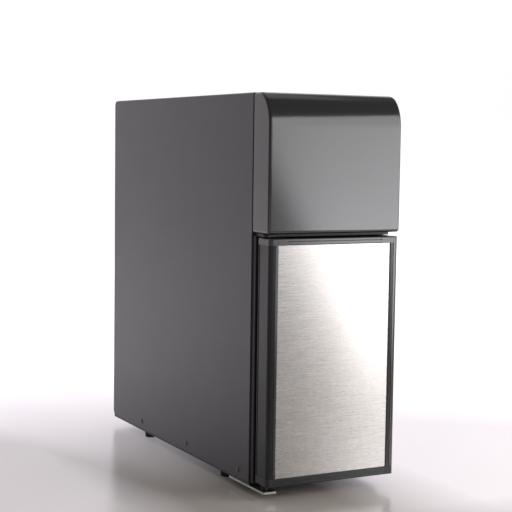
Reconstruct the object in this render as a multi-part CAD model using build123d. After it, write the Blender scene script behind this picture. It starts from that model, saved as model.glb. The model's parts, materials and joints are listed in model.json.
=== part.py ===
from build123d import *
import math
import os

# Hot towel cabinet: a narrow countertop cabinet with a hinged front door, a
# removable cover above the door, and a heated chamber with racks inside.
# Millimetres. X to the right, Y to the rear (the door faces -Y), Z up.
# The origin is on the floor, midway between the sides and between the
# frontmost and rearmost points.

# ---------------------------------------------------------------- driving sizes
CASE_WIDTH = 225.0
CASE_DEPTH = 550.0
CASE_HEIGHT = 580.0
DOOR_PROJECTION = 53.5        # door, ahead of the casing's front edge
FASCIA_PROJECTION = 52.5      # front cover, ahead of the casing's front edge
REAR_PROJECTION = 13.5        # thermostat knob, behind the casing's rear edge
CASE_LIFT = 18.0              # floor to the bottom edge of the casing
SHEET = 1.2                   # painted steel sheet
PAN_DROP = 4.0                # base pan shows this far below the casing
FOOT_RADIUS = 10.5
CORNER_RADIUS = 9.0           # rear corners of the casing, seen from the side

HALF_W = CASE_WIDTH / 2
TOTAL_DEPTH = DOOR_PROJECTION + CASE_DEPTH + REAR_PROJECTION
FRONT_Y = -TOTAL_DEPTH / 2 + DOOR_PROJECTION
REAR_Y = FRONT_Y + CASE_DEPTH
BOTTOM_Z = CASE_LIFT
TOP_Z = CASE_LIFT + CASE_HEIGHT
INNER_X = HALF_W - SHEET
PAN_Z = BOTTOM_Z - PAN_DROP
PAN_SHEET = 1.5
FLANGE = 12.0                 # width of the casing's turned-in flanges
PAN_FLANGE_TOP = 38.0

# Door
DOOR_HALF_W = 110.0
DOOR_BOTTOM_Z = BOTTOM_Z + 3.0
DOOR_TOP_Z = DOOR_BOTTOM_Z + 365.8
DOOR_FRONT_Y = FRONT_Y - DOOR_PROJECTION
DOOR_BACK_Y = FRONT_Y - 17.3
STILE_FACE = 14.4
STILE_EDGE_RADIUS = 6.0
TOP_RAIL_FACE = 10.0
BOTTOM_RAIL_FACE = 12.6
RAIL_EDGE_RADIUS = 2.0
LIP = 3.0                     # the frame's front lip over the steel panel
LIP_THICK = 1.8
PANEL_SHEET = 0.8
TOP_CAP_LENGTH = 29.5
BOTTOM_CAP_LENGTH = 14.8
PIVOT_X = -102.0
PIVOT_Y = FRONT_Y - 32.0
PIN_RADIUS = 3.0
BUSH_RADIUS = 5.0
RUNNING_CLEARANCE = 0.05

# Front cover
FASCIA_BOTTOM_Z = BOTTOM_Z + 375.0
FASCIA_FRONT_Y = FRONT_Y - FASCIA_PROJECTION
FASCIA_BACK_Y = FRONT_Y - 3.6
FASCIA_WALL = 2.5
FASCIA_CURVE_DEPTH = 33.0
FASCIA_CURVE_HEIGHT = 48.0
FASCIA_EDGE_RADIUS = 4.0

# Front frame and chamber
FRAME_FRONT_Y = FRONT_Y - 10.0
CHAMBER_HALF_W = 86.0
CHAMBER_FLOOR_Z = 44.0
SILL_Z = 50.0
CHAMBER_TOP_Z = 360.0
LINER_SHEET = 1.0
LINER_FRONT_Y = FRONT_Y + 7.0
CHAMBER_BACK_Y = 235.0
HEATER_THICK = 1.0
BOARD_X = 109.7               # outer faces of the side insulation boards
DIVIDER_Z = 391.0
REAR_BOARD_THICK = 30.0

# Racks and tray
RACK_LEVELS = (150.0, 252.0)
RACK_TRAVEL = 40.0
RACK_FRONT_Y = -182.0
RACK_BACK_Y = 200.0
RAIL_LEDGE = 9.0
SLIDE_GAP = 0.3


def block(x, y, z):
    """A box from its (low, high) pairs along X, Y and Z."""
    size = [pair[1] - pair[0] for pair in (x, y, z)]
    centre = [(pair[0] + pair[1]) / 2 for pair in (x, y, z)]
    return Pos(*centre) * Box(*size)


def rod_x(radius, x, y, z):
    """A round bar along X, from x[0] to x[1]."""
    return Pos((x[0] + x[1]) / 2, y, z) * Rot(0, 90, 0) * Cylinder(radius, x[1] - x[0])


def rod_y(radius, x, y, z):
    """A round bar along Y, from y[0] to y[1]."""
    return Pos(x, (y[0] + y[1]) / 2, z) * Rot(90, 0, 0) * Cylinder(radius, y[1] - y[0])


def rod_z(radius, x, y, z):
    """A round bar along Z, from z[0] to z[1]."""
    return Pos(x, y, (z[0] + z[1]) / 2) * Cylinder(radius, z[1] - z[0])


def side_extrude(points_or_wire, half_width):
    """Extrudes a closed outline in the (Y, Z) plane to both sides of X = 0."""
    return extrude(Plane.YZ * make_face(points_or_wire), amount=half_width, both=True)


def wire_along(points, radius, bend, close=False):
    """A round wire bent along a line of points."""
    path = FilletPolyline(*points, radius=bend, close=close)
    start = Plane(origin=path @ 0, z_dir=path % 0)
    return sweep(start * Circle(radius), path=path)


# ---------------------------------------------------------------- casing
SCREW_RADIUS = 2.0
SCREW_HEAD_RADIUS = 3.6
SCREW_HEAD = 1.5
HOLE_CLEARANCE = 0.1
SIDE_SCREW_Y = [FRONT_Y + offset for offset in (36.0, 225.0, 415.0)]
SIDE_SCREW_Z = BOTTOM_Z + 12.0
BACK_PANEL_Y = REAR_Y - SHEET
BACK_PANEL_TOP_Z = TOP_Z - 14.0
TOP_EDGE_RADIUS = 2.5


def case_outline(inset, front, bottom):
    """Side view of the casing, inset all round, with its rear corners rounded."""
    rear = REAR_Y - inset
    top = TOP_Z - inset
    radius = CORNER_RADIUS - inset
    low = bottom + (CORNER_RADIUS if inset == 0 else 0)
    lines = [
        Line((front, bottom), (front, top)),
        Line((front, top), (rear - radius, top)),
        RadiusArc((rear - radius, top), (rear, top - radius), radius),
        Line((rear, top - radius), (rear, low)),
    ]
    if inset == 0:
        lines.append(RadiusArc((rear, low), (rear - radius, bottom), radius))
        lines.append(Line((rear - radius, bottom), (front, bottom)))
    else:
        lines.append(Line((rear, bottom), (front, bottom)))
    return Curve() + lines


def casing_wrapper():
    outer = block((-HALF_W, HALF_W), (FRONT_Y, REAR_Y), (BOTTOM_Z, TOP_Z))
    outer = fillet(outer.edges().filter_by(Axis.Y).sort_by(Axis.Z)[-2:], TOP_EDGE_RADIUS)
    outer = outer & side_extrude(case_outline(0, FRONT_Y, BOTTOM_Z), HALF_W)
    inner = side_extrude(case_outline(SHEET, FRONT_Y - 1.0, BOTTOM_Z - 1.0), INNER_X)
    back_opening = block((-INNER_X, INNER_X), (REAR_Y - 5.0, REAR_Y + 1.0),
                         (BOTTOM_Z - 1.0, BACK_PANEL_TOP_Z))
    shell = outer - inner - back_opening
    for side in (-1, 1):
        flange_x = sorted((side * INNER_X, side * (INNER_X - FLANGE)))
        shell += block(flange_x, (FRONT_Y, FRONT_Y + SHEET), (PAN_FLANGE_TOP, TOP_Z - 2.0))
        shell += block(flange_x, (BACK_PANEL_Y - 2 * SHEET, BACK_PANEL_Y - SHEET),
                       (PAN_FLANGE_TOP, BACK_PANEL_TOP_Z - 8.0))
        for y in SIDE_SCREW_Y:
            shell -= rod_x(SCREW_RADIUS + HOLE_CLEARANCE, (side * HALF_W - 4.0, side * HALF_W + 4.0),
                           y, SIDE_SCREW_Z)
        for z in HINGE_TAB_SCREW_Z:
            shell -= rod_y(SCREW_RADIUS + HOLE_CLEARANCE, side * HINGE_TAB_SCREW_X,
                           (FRONT_Y - 1.0, FRONT_Y + 3.0), z)
        for z in BACK_SCREW_Z:
            shell -= rod_y(SCREW_RADIUS + HOLE_CLEARANCE, side * BACK_SCREW_X,
                           (BACK_PANEL_Y - 4.0, BACK_PANEL_Y), z)
    shell -= rod_y(PLUNGER_RADIUS + 0.7, PLUNGER_X, (FRONT_Y - 1.0, FRONT_Y + 3.0), PLUNGER_Z)
    return shell


def base_pan():
    pan_front = FRONT_Y
    pan_rear = BACK_PANEL_Y - SHEET
    outer = block((-INNER_X, INNER_X), (pan_front, pan_rear), (PAN_Z, PAN_FLANGE_TOP))
    inner = block((-INNER_X + PAN_SHEET, INNER_X - PAN_SHEET),
                  (pan_front + PAN_SHEET, pan_rear - PAN_SHEET),
                  (PAN_Z + PAN_SHEET, PAN_FLANGE_TOP + 1.0))
    front_cut = block((-INNER_X - 1.0, INNER_X + 1.0), (pan_front - 1.0, pan_front + PAN_SHEET),
                      (SILL_Z - 20.0, PAN_FLANGE_TOP + 1.0))
    pan = outer - inner - front_cut
    for side in (-1, 1):
        for y in SIDE_SCREW_Y:
            pan -= rod_x(SCREW_RADIUS + HOLE_CLEARANCE,
                         (side * INNER_X - 3.0, side * INNER_X + 3.0), y, SIDE_SCREW_Z)
    for x, y in FOOT_PLACES:
        pan -= rod_z(SCREW_RADIUS + HOLE_CLEARANCE, x, y, (PAN_Z - 1.0, PAN_Z + 3.0))
    for y in HINGE_SCREW_Y:
        pan -= rod_z(SCREW_RADIUS + HOLE_CLEARANCE, HINGE_SCREW_X, y, (PAN_Z - 1.0, PAN_Z + 3.0))
    return pan


def pan_head_screw(length, head_radius=SCREW_HEAD_RADIUS):
    """A screw along Z: its head is above Z = 0, and its shank goes down."""
    head = Pos(0, 0, SCREW_HEAD / 2) * Cylinder(head_radius, SCREW_HEAD)
    head = fillet(head.edges().sort_by(Axis.Z)[-1], 0.9)
    recess = Pos(0, 0, SCREW_HEAD) * (Box(3.4, 0.7, 1.2) + Box(0.7, 3.4, 1.2))
    shank = Pos(0, 0, -length / 2) * Cylinder(SCREW_RADIUS, length)
    return head - recess + shank


def side_panel_screws():
    screw = pan_head_screw(6.0)
    screws = []
    for side in (-1, 1):
        for y in SIDE_SCREW_Y:
            screws.append(Pos(side * HALF_W, y, SIDE_SCREW_Z) * Rot(0, side * 90, 0) * screw)
    return Compound(children=screws)


# ---------------------------------------------------------------- rear panel
BACK_SCREW_X = 105.0
BACK_SCREW_Z = (70.0, 220.0, 370.0, 540.0)
LOUVRE_LENGTH = 62.0
LOUVRE_HEIGHT = 3.5
LOUVRE_PITCH = 9.0
LOUVRE_COUNT = 6
LOUVRE_TOP_Z = 572.0
LOWER_LOUVRE_TOP_Z = 110.0
LOUVRE_X = 48.0
CONTROL_Z = 470.0
INLET_X = -62.0
SWITCH_X = (-16.0, 16.0)
KNOB_X = 66.0
INLET_HALF = (13.5, 10.0)
SWITCH_HALF = (6.9, 10.4)
SPINDLE_RADIUS = 3.0
PLATE_HALF = (97.0, 27.0)     # half sizes of the control plate, and of its window
WINDOW_HALF = (88.0, 20.0)
PLATE_SCREW = (92.5, 20.0)
CONTROL_FACE_Y = BACK_PANEL_Y + SHEET


def louvre_slots(top_z):
    """Two columns of horizontal vent slots with round ends."""
    slots = []
    for x in (-LOUVRE_X, LOUVRE_X):
        for row in range(LOUVRE_COUNT):
            z = top_z - LOUVRE_PITCH * row
            straight = (x - LOUVRE_LENGTH / 2, x + LOUVRE_LENGTH / 2)
            depth = (BACK_PANEL_Y - 3.0, BACK_PANEL_Y + 1.0)
            slot = block(straight, depth, (z - LOUVRE_HEIGHT / 2, z + LOUVRE_HEIGHT / 2))
            for end in straight:
                slot += rod_y(LOUVRE_HEIGHT / 2, end, depth, z)
            slots.append(slot)
    return slots


def back_panel():
    depth = (BACK_PANEL_Y - SHEET, BACK_PANEL_Y)
    through = (BACK_PANEL_Y - 3.0, BACK_PANEL_Y + 1.0)
    panel = block((-INNER_X, INNER_X), depth, (PAN_Z, BACK_PANEL_TOP_Z + 4.0))
    for slot in louvre_slots(LOUVRE_TOP_Z - 24.0) + louvre_slots(LOWER_LOUVRE_TOP_Z):
        panel -= slot
    window = control_block(0, WINDOW_HALF, through)
    panel -= fillet(window.edges().filter_by(Axis.Y), 3.0)
    for side in (-1, 1):
        for z in BACK_SCREW_Z:
            panel -= rod_y(SCREW_RADIUS + HOLE_CLEARANCE, side * BACK_SCREW_X, through, z)
    for x, z in control_screw_places():
        panel -= rod_y(SCREW_RADIUS + HOLE_CLEARANCE, x, through, z)
    return panel


def control_block(x, half, depth):
    """A block at the height of the rear controls, from its half width and half height."""
    return block((x - half[0], x + half[0]), depth, (CONTROL_Z - half[1], CONTROL_Z + half[1]))


def control_screw_places():
    across, up = PLATE_SCREW
    return [(x, CONTROL_Z + z) for x in (-across, across) for z in (-up, up)]


def control_plate():
    """Carries the inlet, the switches and the thermostat over a window in the panel."""
    through = (BACK_PANEL_Y - 1.0, CONTROL_FACE_Y + 1.0)
    plate = control_block(0, PLATE_HALF, (BACK_PANEL_Y, CONTROL_FACE_Y))
    plate = fillet(plate.edges().filter_by(Axis.Y), 4.0)
    plate -= control_block(INLET_X, INLET_HALF, through)
    for x in SWITCH_X:
        plate -= control_block(x, SWITCH_HALF, through)
    plate -= rod_y(SPINDLE_RADIUS + 2.0, KNOB_X, through, CONTROL_Z)
    for x, z in control_screw_places():
        plate -= rod_y(SCREW_RADIUS + HOLE_CLEARANCE, x, through, z)
    return plate


def back_panel_screws():
    screw = pan_head_screw(7.0)
    screws = []
    for side in (-1, 1):
        for z in BACK_SCREW_Z:
            place = Pos(side * BACK_SCREW_X, BACK_PANEL_Y, z)
            screws.append(place * Rot(-90, 0, 0) * screw)
    for x, z in control_screw_places():
        screws.append(Pos(x, CONTROL_FACE_Y, z) * Rot(-90, 0, 0) * screw)
    return Compound(children=screws)


PIN_SIZE = (1.0, 2.0)         # half sizes of an inlet pin, across and along
INLET_PINS = ((-7.0, -2.0), (7.0, -2.0), (0.0, 2.0))


def power_inlet():
    half_x, half_z = INLET_HALF
    body = control_block(INLET_X, INLET_HALF, (CONTROL_FACE_Y - 20.0, CONTROL_FACE_Y))
    flange = control_block(INLET_X, (half_x + 2.5, half_z + 2.5),
                           (CONTROL_FACE_Y, CONTROL_FACE_Y + 2.2))
    flange = fillet(flange.edges().filter_by(Axis.Y), 2.0)
    recess = control_block(INLET_X, (half_x - 1.8, half_z - 1.8),
                           (CONTROL_FACE_Y - 16.0, CONTROL_FACE_Y + 3.0))
    recess = chamfer(recess.edges().filter_by(Axis.Y).sort_by(Axis.Z)[-2:], 4.0)
    inlet = body + flange - recess
    for x, z in INLET_PINS:
        inlet -= inlet_pin(x, z)
    return inlet


def inlet_pin(x, z):
    return block((INLET_X + x - PIN_SIZE[0], INLET_X + x + PIN_SIZE[0]),
                 (CONTROL_FACE_Y - 26.0, CONTROL_FACE_Y - 3.0),
                 (CONTROL_Z + z - PIN_SIZE[1], CONTROL_Z + z + PIN_SIZE[1]))


def power_inlet_pins():
    return Compound(children=[inlet_pin(x, z) for x, z in INLET_PINS])


ROCKER_PIVOT_Y = CONTROL_FACE_Y - 2.8
ROCKER_PIVOT_RADIUS = 1.4
ROCKER_TILT = 8.0
SWITCH_WALL = 1.0


def switch_housings():
    half_x, half_z = SWITCH_HALF
    housings = []
    for x in SWITCH_X:
        body = control_block(x, SWITCH_HALF, (CONTROL_FACE_Y - 18.0, CONTROL_FACE_Y))
        flange = control_block(x, (half_x + 1.5, half_z + 1.5),
                               (CONTROL_FACE_Y, CONTROL_FACE_Y + 2.0))
        flange = fillet(flange.edges().filter_by(Axis.Y), 1.2)
        well = control_block(x, (half_x - SWITCH_WALL, half_z - SWITCH_WALL),
                             (CONTROL_FACE_Y - 10.0, CONTROL_FACE_Y + 3.0))
        tabs = [block((x - 1.6, x + 1.6), (CONTROL_FACE_Y - 26.0, CONTROL_FACE_Y - 18.0),
                      (CONTROL_Z + z - 0.4, CONTROL_Z + z + 0.4)) for z in (-6.0, 6.0)]
        bearing = rod_x(ROCKER_PIVOT_RADIUS + RUNNING_CLEARANCE, (x - half_x, x + half_x),
                        ROCKER_PIVOT_Y, CONTROL_Z)
        housings.append(body + flange - well - bearing + tabs)
    return Compound(children=housings)


def switch_rocker(x):
    """A rocker with a shallow V face on a round pivot, tilted to its off position."""
    half_width = SWITCH_HALF[0] - SWITCH_WALL - SLIDE_GAP
    pivot_reach = SWITCH_HALF[0] - 0.2
    reach = 8.0
    outline = [(-4.0, -6.0), (-4.0, 6.0), (3.5, reach), (6.6, reach), (5.4, 0.0),
               (6.6, -reach), (3.5, -reach)]
    profile = make_face(Polyline(*outline, close=True))
    rocker = extrude(Plane.YZ * profile, amount=half_width, both=True)
    rocker += rod_x(ROCKER_PIVOT_RADIUS, (-pivot_reach, pivot_reach), 0, 0)
    return Pos(x, ROCKER_PIVOT_Y, CONTROL_Z) * Rot(ROCKER_TILT, 0, 0) * rocker


KNOB_RADIUS = 17.0
KNOB_BACK_Y = REAR_Y + 0.3
KNOB_END_Y = REAR_Y + REAR_PROJECTION


def thermostat_body():
    body = control_block(KNOB_X, (17.0, 14.0), (BACK_PANEL_Y - 22.0, BACK_PANEL_Y))
    body = fillet(body.edges().filter_by(Axis.Y), 3.0)
    return body - rod_y(SPINDLE_RADIUS + RUNNING_CLEARANCE, KNOB_X,
                        (BACK_PANEL_Y - 15.0, CONTROL_FACE_Y), CONTROL_Z)


def thermostat_spindle():
    return rod_y(SPINDLE_RADIUS, KNOB_X, (BACK_PANEL_Y - 14.0, KNOB_END_Y - 4.0), CONTROL_Z)


def thermostat_knob():
    """A round knob with a skirt, a raised grip bar and a blind bore."""
    skirt = rod_y(KNOB_RADIUS, KNOB_X, (KNOB_BACK_Y, KNOB_BACK_Y + 3.0), CONTROL_Z)
    grip = rod_y(KNOB_RADIUS - 3.0, KNOB_X, (KNOB_BACK_Y + 3.0, KNOB_END_Y), CONTROL_Z)
    grip = fillet(grip.edges().sort_by(Axis.Y)[-1], 1.5)
    flats = [block((KNOB_X + side * 10.0 - 6.0, KNOB_X + side * 10.0 + 6.0),
                   (KNOB_BACK_Y + 4.5, KNOB_END_Y + 1.0),
                   (CONTROL_Z - 20.0, CONTROL_Z + 20.0)) for side in (-1, 1)]
    mark = block((KNOB_X - 0.6, KNOB_X + 0.6), (KNOB_END_Y - 0.6, KNOB_END_Y + 1.0),
                 (CONTROL_Z + 3.0, CONTROL_Z + KNOB_RADIUS))
    bore = rod_y(SPINDLE_RADIUS, KNOB_X, (KNOB_BACK_Y - 1.0, KNOB_END_Y - 4.0), CONTROL_Z)
    return skirt + grip - flats - mark - bore


# ---------------------------------------------------------------- front cover
BOSS_RADIUS = 5.0
BOSS_X = 84.0
BOSS_Z = (FASCIA_BOTTOM_Z + 24.0, TOP_Z - 62.0)
PLATE_THICK = 1.5


def fascia_outline(inset, back):
    """Side view of the cover: flat front, large curve up to the top."""
    front = FASCIA_FRONT_Y + inset
    top = TOP_Z - inset
    bottom = FASCIA_BOTTOM_Z + inset
    curve_start = FASCIA_FRONT_Y + FASCIA_CURVE_DEPTH
    curve_end = TOP_Z - FASCIA_CURVE_HEIGHT
    handle = 0.5523
    toe = 5.0 - inset
    curve = Bezier(
        (curve_start, top),
        (curve_start - handle * (curve_start - front), top),
        (front, curve_end + handle * (top - curve_end)),
        (front, curve_end),
    )
    return Curve() + [
        Line((back, bottom), (back, top)),
        Line((back, top), (curve_start, top)),
        curve,
        Line((front, curve_end), (front, bottom + toe)),
        RadiusArc((front, bottom + toe), (front + toe, bottom), -toe),
        Line((front + toe, bottom), (back, bottom)),
    ]


def fascia_cover():
    outer = side_extrude(fascia_outline(0, FASCIA_BACK_Y), HALF_W)
    rim = [
        edge
        for edge in outer.edges()
        if abs(abs(edge.center().X) - HALF_W) < 0.01 and edge.center().Y < FASCIA_BACK_Y - 1.0
    ]
    outer = fillet(rim, FASCIA_EDGE_RADIUS)
    inner = side_extrude(fascia_outline(FASCIA_WALL, FASCIA_BACK_Y + 1.0), HALF_W - FASCIA_WALL)
    cover = outer - inner
    for x in (-BOSS_X, BOSS_X):
        for z in BOSS_Z:
            cover += rod_y(BOSS_RADIUS, x, (FASCIA_FRONT_Y + 1.5, FRONT_Y + SHEET), z)
            cover -= rod_y(SCREW_RADIUS + RUNNING_CLEARANCE, x, (FRONT_Y - 18.0, FRONT_Y + 3.0), z)
    return cover


def fascia_mounting_plate():
    plate = block((-INNER_X, INNER_X), (FRONT_Y + SHEET, FRONT_Y + SHEET + PLATE_THICK),
                  (FASCIA_BOTTOM_Z + 2.0, TOP_Z - 4.0))
    through = (FRONT_Y, FRONT_Y + 6.0)
    window = block((-64.0, 64.0), through, (BOSS_Z[0] - 6.0, BOSS_Z[1] + 6.0))
    window = fillet(window.edges().filter_by(Axis.Y), 8.0)
    plate -= window
    for x in (-BOSS_X, BOSS_X):
        for z in BOSS_Z:
            plate -= rod_y(SCREW_RADIUS + HOLE_CLEARANCE, x, through, z)
    for side in (-1, 1):
        for z in HINGE_TAB_SCREW_Z:
            plate -= rod_y(SCREW_RADIUS + HOLE_CLEARANCE, side * HINGE_TAB_SCREW_X, through, z)
    return plate


def fascia_screws():
    screw = pan_head_screw(16.0)
    back = FRONT_Y + SHEET + PLATE_THICK
    return Compound(children=[Pos(x, back, z) * Rot(-90, 0, 0) * screw
                              for x in (-BOSS_X, BOSS_X) for z in BOSS_Z])


# ---------------------------------------------------------------- front frame, hinges
FRAME_HALF_W = 110.5
FRAME_BOTTOM_Z = BOTTOM_Z + 1.0
FRAME_TOP_Z = DOOR_TOP_Z + 1.2
COLLAR_X = INNER_X - FLANGE - 0.3
PLUNGER_RADIUS = 2.5
PLUNGER_X = 105.7
PLUNGER_Z = 340.0
PLUNGER_CLEARANCE = 0.1


def front_frame():
    """The moulded ring round the chamber's mouth, which the door seals on."""
    plate = block((-FRAME_HALF_W, FRAME_HALF_W), (FRAME_FRONT_Y, FRONT_Y),
                  (FRAME_BOTTOM_Z, FRAME_TOP_Z))
    plate = fillet(plate.edges().filter_by(Axis.Z).sort_by(Axis.Y)[:2], 1.5)
    collar = block((-COLLAR_X, COLLAR_X), (FRONT_Y, LINER_FRONT_Y), (31.0, CHAMBER_TOP_Z + 13.0))
    mouth = block((-CHAMBER_HALF_W, CHAMBER_HALF_W), (FRAME_FRONT_Y - 1.0, LINER_FRONT_Y + 1.0),
                  (SILL_Z, CHAMBER_TOP_Z))
    mouth = fillet(mouth.edges().filter_by(Axis.Y), 6.0)
    frame = plate + collar - mouth
    return frame - rod_y(PLUNGER_RADIUS + PLUNGER_CLEARANCE, PLUNGER_X,
                         (FRAME_FRONT_Y - 1.0, FRONT_Y + 1.0), PLUNGER_Z)


HINGE_TAB_SCREW_X = 105.3
HINGE_TAB_SCREW_Z = (404.0, 424.0)
HINGE_RAIL_FRONT_Y = FRONT_Y - 31.0
HINGE_RAIL_TOP_Z = FASCIA_BOTTOM_Z - 0.4
HINGE_RAIL_HALF_W = 108.0
HINGE_PLATE_THICK = 3.0
HINGE_PLATE_FRONT_Y = FRONT_Y - 48.0
TONGUE_X = (-111.0, -90.0)
HINGE_SCREW_X = -101.0
HINGE_SCREW_Y = (-236.0, -202.0)


def upper_hinge_rail():
    """The bar across the top of the doorway, with the tongue that holds the pin."""
    bar = block((-HINGE_RAIL_HALF_W, HINGE_RAIL_HALF_W), (HINGE_RAIL_FRONT_Y, FRONT_Y),
                (FRAME_TOP_Z, HINGE_RAIL_TOP_Z))
    bar = fillet(bar.edges().filter_by(Axis.Z).sort_by(Axis.Y)[:2], 4.0)
    tongue_z = (FRAME_TOP_Z + 0.8, FRAME_TOP_Z + 0.8 + HINGE_PLATE_THICK)
    tongue = block(TONGUE_X, (PIVOT_Y - 9.0, HINGE_RAIL_FRONT_Y + 6.0), tongue_z)
    tongue = fillet(tongue.edges().filter_by(Axis.Z).sort_by(Axis.Y)[:2], 6.0)
    rail = bar + tongue
    for side in (-1, 1):
        tab_x = sorted((side * (INNER_X - FLANGE + 1.0), side * (INNER_X - 1.0)))
        rail += block(tab_x, (FRONT_Y - 2.5, FRONT_Y), (FRAME_TOP_Z, HINGE_TAB_SCREW_Z[-1] + 7.0))
        for z in HINGE_TAB_SCREW_Z:
            rail -= rod_y(SCREW_RADIUS + HOLE_CLEARANCE, side * HINGE_TAB_SCREW_X,
                          (FRONT_Y - 3.0, FRONT_Y + 1.0), z)
    return rail - rod_z(PIN_RADIUS, PIVOT_X, PIVOT_Y, (FRAME_TOP_Z, HINGE_RAIL_TOP_Z + 1.0))


def lower_hinge_bracket():
    plate = block((-HALF_W, -90.0), (HINGE_PLATE_FRONT_Y, HINGE_SCREW_Y[-1] + 14.0),
                  (PAN_Z - HINGE_PLATE_THICK, PAN_Z))
    plate = fillet(plate.edges().filter_by(Axis.Z), 3.0)
    for y in HINGE_SCREW_Y:
        plate -= rod_z(SCREW_RADIUS + HOLE_CLEARANCE, HINGE_SCREW_X, y,
                       (PAN_Z - HINGE_PLATE_THICK - 1.0, PAN_Z + 1.0))
    return plate - rod_z(PIN_RADIUS, PIVOT_X, PIVOT_Y, (PAN_Z - HINGE_PLATE_THICK - 1.0, PAN_Z + 1.0))


def hinge_pins():
    lower = rod_z(PIN_RADIUS, PIVOT_X, PIVOT_Y, (PAN_Z - HINGE_PLATE_THICK, DOOR_BOTTOM_Z + 10.0))
    upper = rod_z(PIN_RADIUS, PIVOT_X, PIVOT_Y,
                  (DOOR_TOP_Z - 9.0, FRAME_TOP_Z + 0.8 + HINGE_PLATE_THICK))
    lower = chamfer(lower.edges().sort_by(Axis.Z)[-1], 0.8)
    upper = chamfer(upper.edges().sort_by(Axis.Z)[0], 0.8)
    return Compound(children=[lower, upper])


def hinge_screws():
    screw = pan_head_screw(7.0)
    screws = [Pos(HINGE_SCREW_X, y, PAN_Z - HINGE_PLATE_THICK) * Rot(180, 0, 0) * screw
              for y in HINGE_SCREW_Y]
    for side in (-1, 1):
        for z in HINGE_TAB_SCREW_Z:
            place = Pos(side * HINGE_TAB_SCREW_X, FRONT_Y - 2.5, z)
            screws.append(place * Rot(90, 0, 0) * screw)
    return Compound(children=screws)


# ---------------------------------------------------------------- feet
FOOT_PLACES = [(side * 93.0, y) for side in (-1, 1) for y in (FRONT_Y + 113.0, FRONT_Y + 420.0)]
FOOT_RECESS = 6.0


def rubber_feet():
    foot = Pos(0, 0, PAN_Z / 2) * Cone(FOOT_RADIUS - 1.5, FOOT_RADIUS, PAN_Z)
    foot = fillet(foot.edges().sort_by(Axis.Z)[0], 1.5)
    foot -= Pos(0, 0, FOOT_RECESS / 2) * Cylinder(SCREW_HEAD_RADIUS + 0.6, FOOT_RECESS)
    foot -= Pos(0, 0, PAN_Z / 2) * Cylinder(SCREW_RADIUS + HOLE_CLEARANCE, PAN_Z)
    return Compound(children=[Pos(x, y, 0) * foot for x, y in FOOT_PLACES])


def foot_screws():
    screw = pan_head_screw(PAN_Z - FOOT_RECESS + 6.0)
    return Compound(children=[Pos(x, y, FOOT_RECESS) * Rot(180, 0, 0) * screw
                              for x, y in FOOT_PLACES])


# ---------------------------------------------------------------- chamber
LINER_X = CHAMBER_HALF_W + LINER_SHEET
LINER_BOTTOM_Z = CHAMBER_FLOOR_Z - LINER_SHEET
LINER_TOP_Z = CHAMBER_TOP_Z + LINER_SHEET
LINER_BACK_Y = CHAMBER_BACK_Y + LINER_SHEET
LEAD_HOLE_Y = 150.0
LEAD_RADIUS = 3.0


def inner_liner():
    flange_back = LINER_FRONT_Y + LINER_SHEET
    outer = block((-LINER_X, LINER_X), (flange_back, LINER_BACK_Y), (LINER_BOTTOM_Z, LINER_TOP_Z))
    outer += block((-LINER_X - 9.0, LINER_X + 9.0), (LINER_FRONT_Y, flange_back),
                   (LINER_BOTTOM_Z - 9.0, LINER_TOP_Z + 9.0))
    inner = block((-CHAMBER_HALF_W, CHAMBER_HALF_W), (LINER_FRONT_Y - 1.0, CHAMBER_BACK_Y),
                  (CHAMBER_FLOOR_Z, CHAMBER_TOP_Z))
    return outer - inner - lead_hole()


def lead_hole():
    """The way down through roof, board and divider for the lamp's lead."""
    return rod_z(LEAD_RADIUS + 0.2, 0, LEAD_HOLE_Y, (CHAMBER_TOP_Z - 1.0, DIVIDER_Z + 3.0))


def insulation_side(side):
    board = block(sorted((side * (LINER_X + HEATER_THICK), side * BOARD_X)),
                  (LINER_FRONT_Y + LINER_SHEET, LINER_BACK_Y), (LINER_BOTTOM_Z, LINER_TOP_Z))
    if side > 0:
        board -= switch_body_block(0.3)
    return board


def insulation_bottom():
    board = block((-BOARD_X, BOARD_X), (FRONT_Y + PAN_SHEET, LINER_BACK_Y + REAR_BOARD_THICK),
                  (PAN_Z + PAN_SHEET, LINER_BOTTOM_Z - HEATER_THICK))
    front_step = block((-BOARD_X - 1.0, BOARD_X + 1.0), (FRONT_Y, LINER_FRONT_Y + LINER_SHEET),
                       (SILL_Z - 20.0, LINER_BOTTOM_Z))
    board -= front_step
    pocket_z = (PAN_Z, PAN_Z + 10.0)
    for x, y in FOOT_PLACES:
        board -= rod_z(5.0, x, y, pocket_z)
    for y in HINGE_SCREW_Y:
        board -= rod_z(5.0, HINGE_SCREW_X, y, pocket_z)
    for side in (-1, 1):
        for y in SIDE_SCREW_Y:
            board -= rod_x(4.0, (side * BOARD_X - 5.0, side * BOARD_X + 5.0), y, SIDE_SCREW_Z)
    return board


def insulation_top():
    board = block((-BOARD_X, BOARD_X), (LINER_FRONT_Y + LINER_SHEET, LINER_BACK_Y + REAR_BOARD_THICK),
                  (LINER_TOP_Z, DIVIDER_Z))
    return board - lead_hole()


def insulation_rear():
    board = block((-BOARD_X, BOARD_X), (LINER_BACK_Y, LINER_BACK_Y + REAR_BOARD_THICK),
                  (LINER_BOTTOM_Z - HEATER_THICK, LINER_TOP_Z))
    board -= rod_y(CUTOUT_RADIUS + 0.5, CUTOUT_X, (LINER_BACK_Y - 1.0, LINER_BACK_Y + 40.0), CUTOUT_Z)
    board -= rod_y(BULB_RADIUS + 0.5, BULB_X, (LINER_BACK_Y - 1.0, LINER_BACK_Y + 40.0), BULB_Z)
    return board


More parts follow.
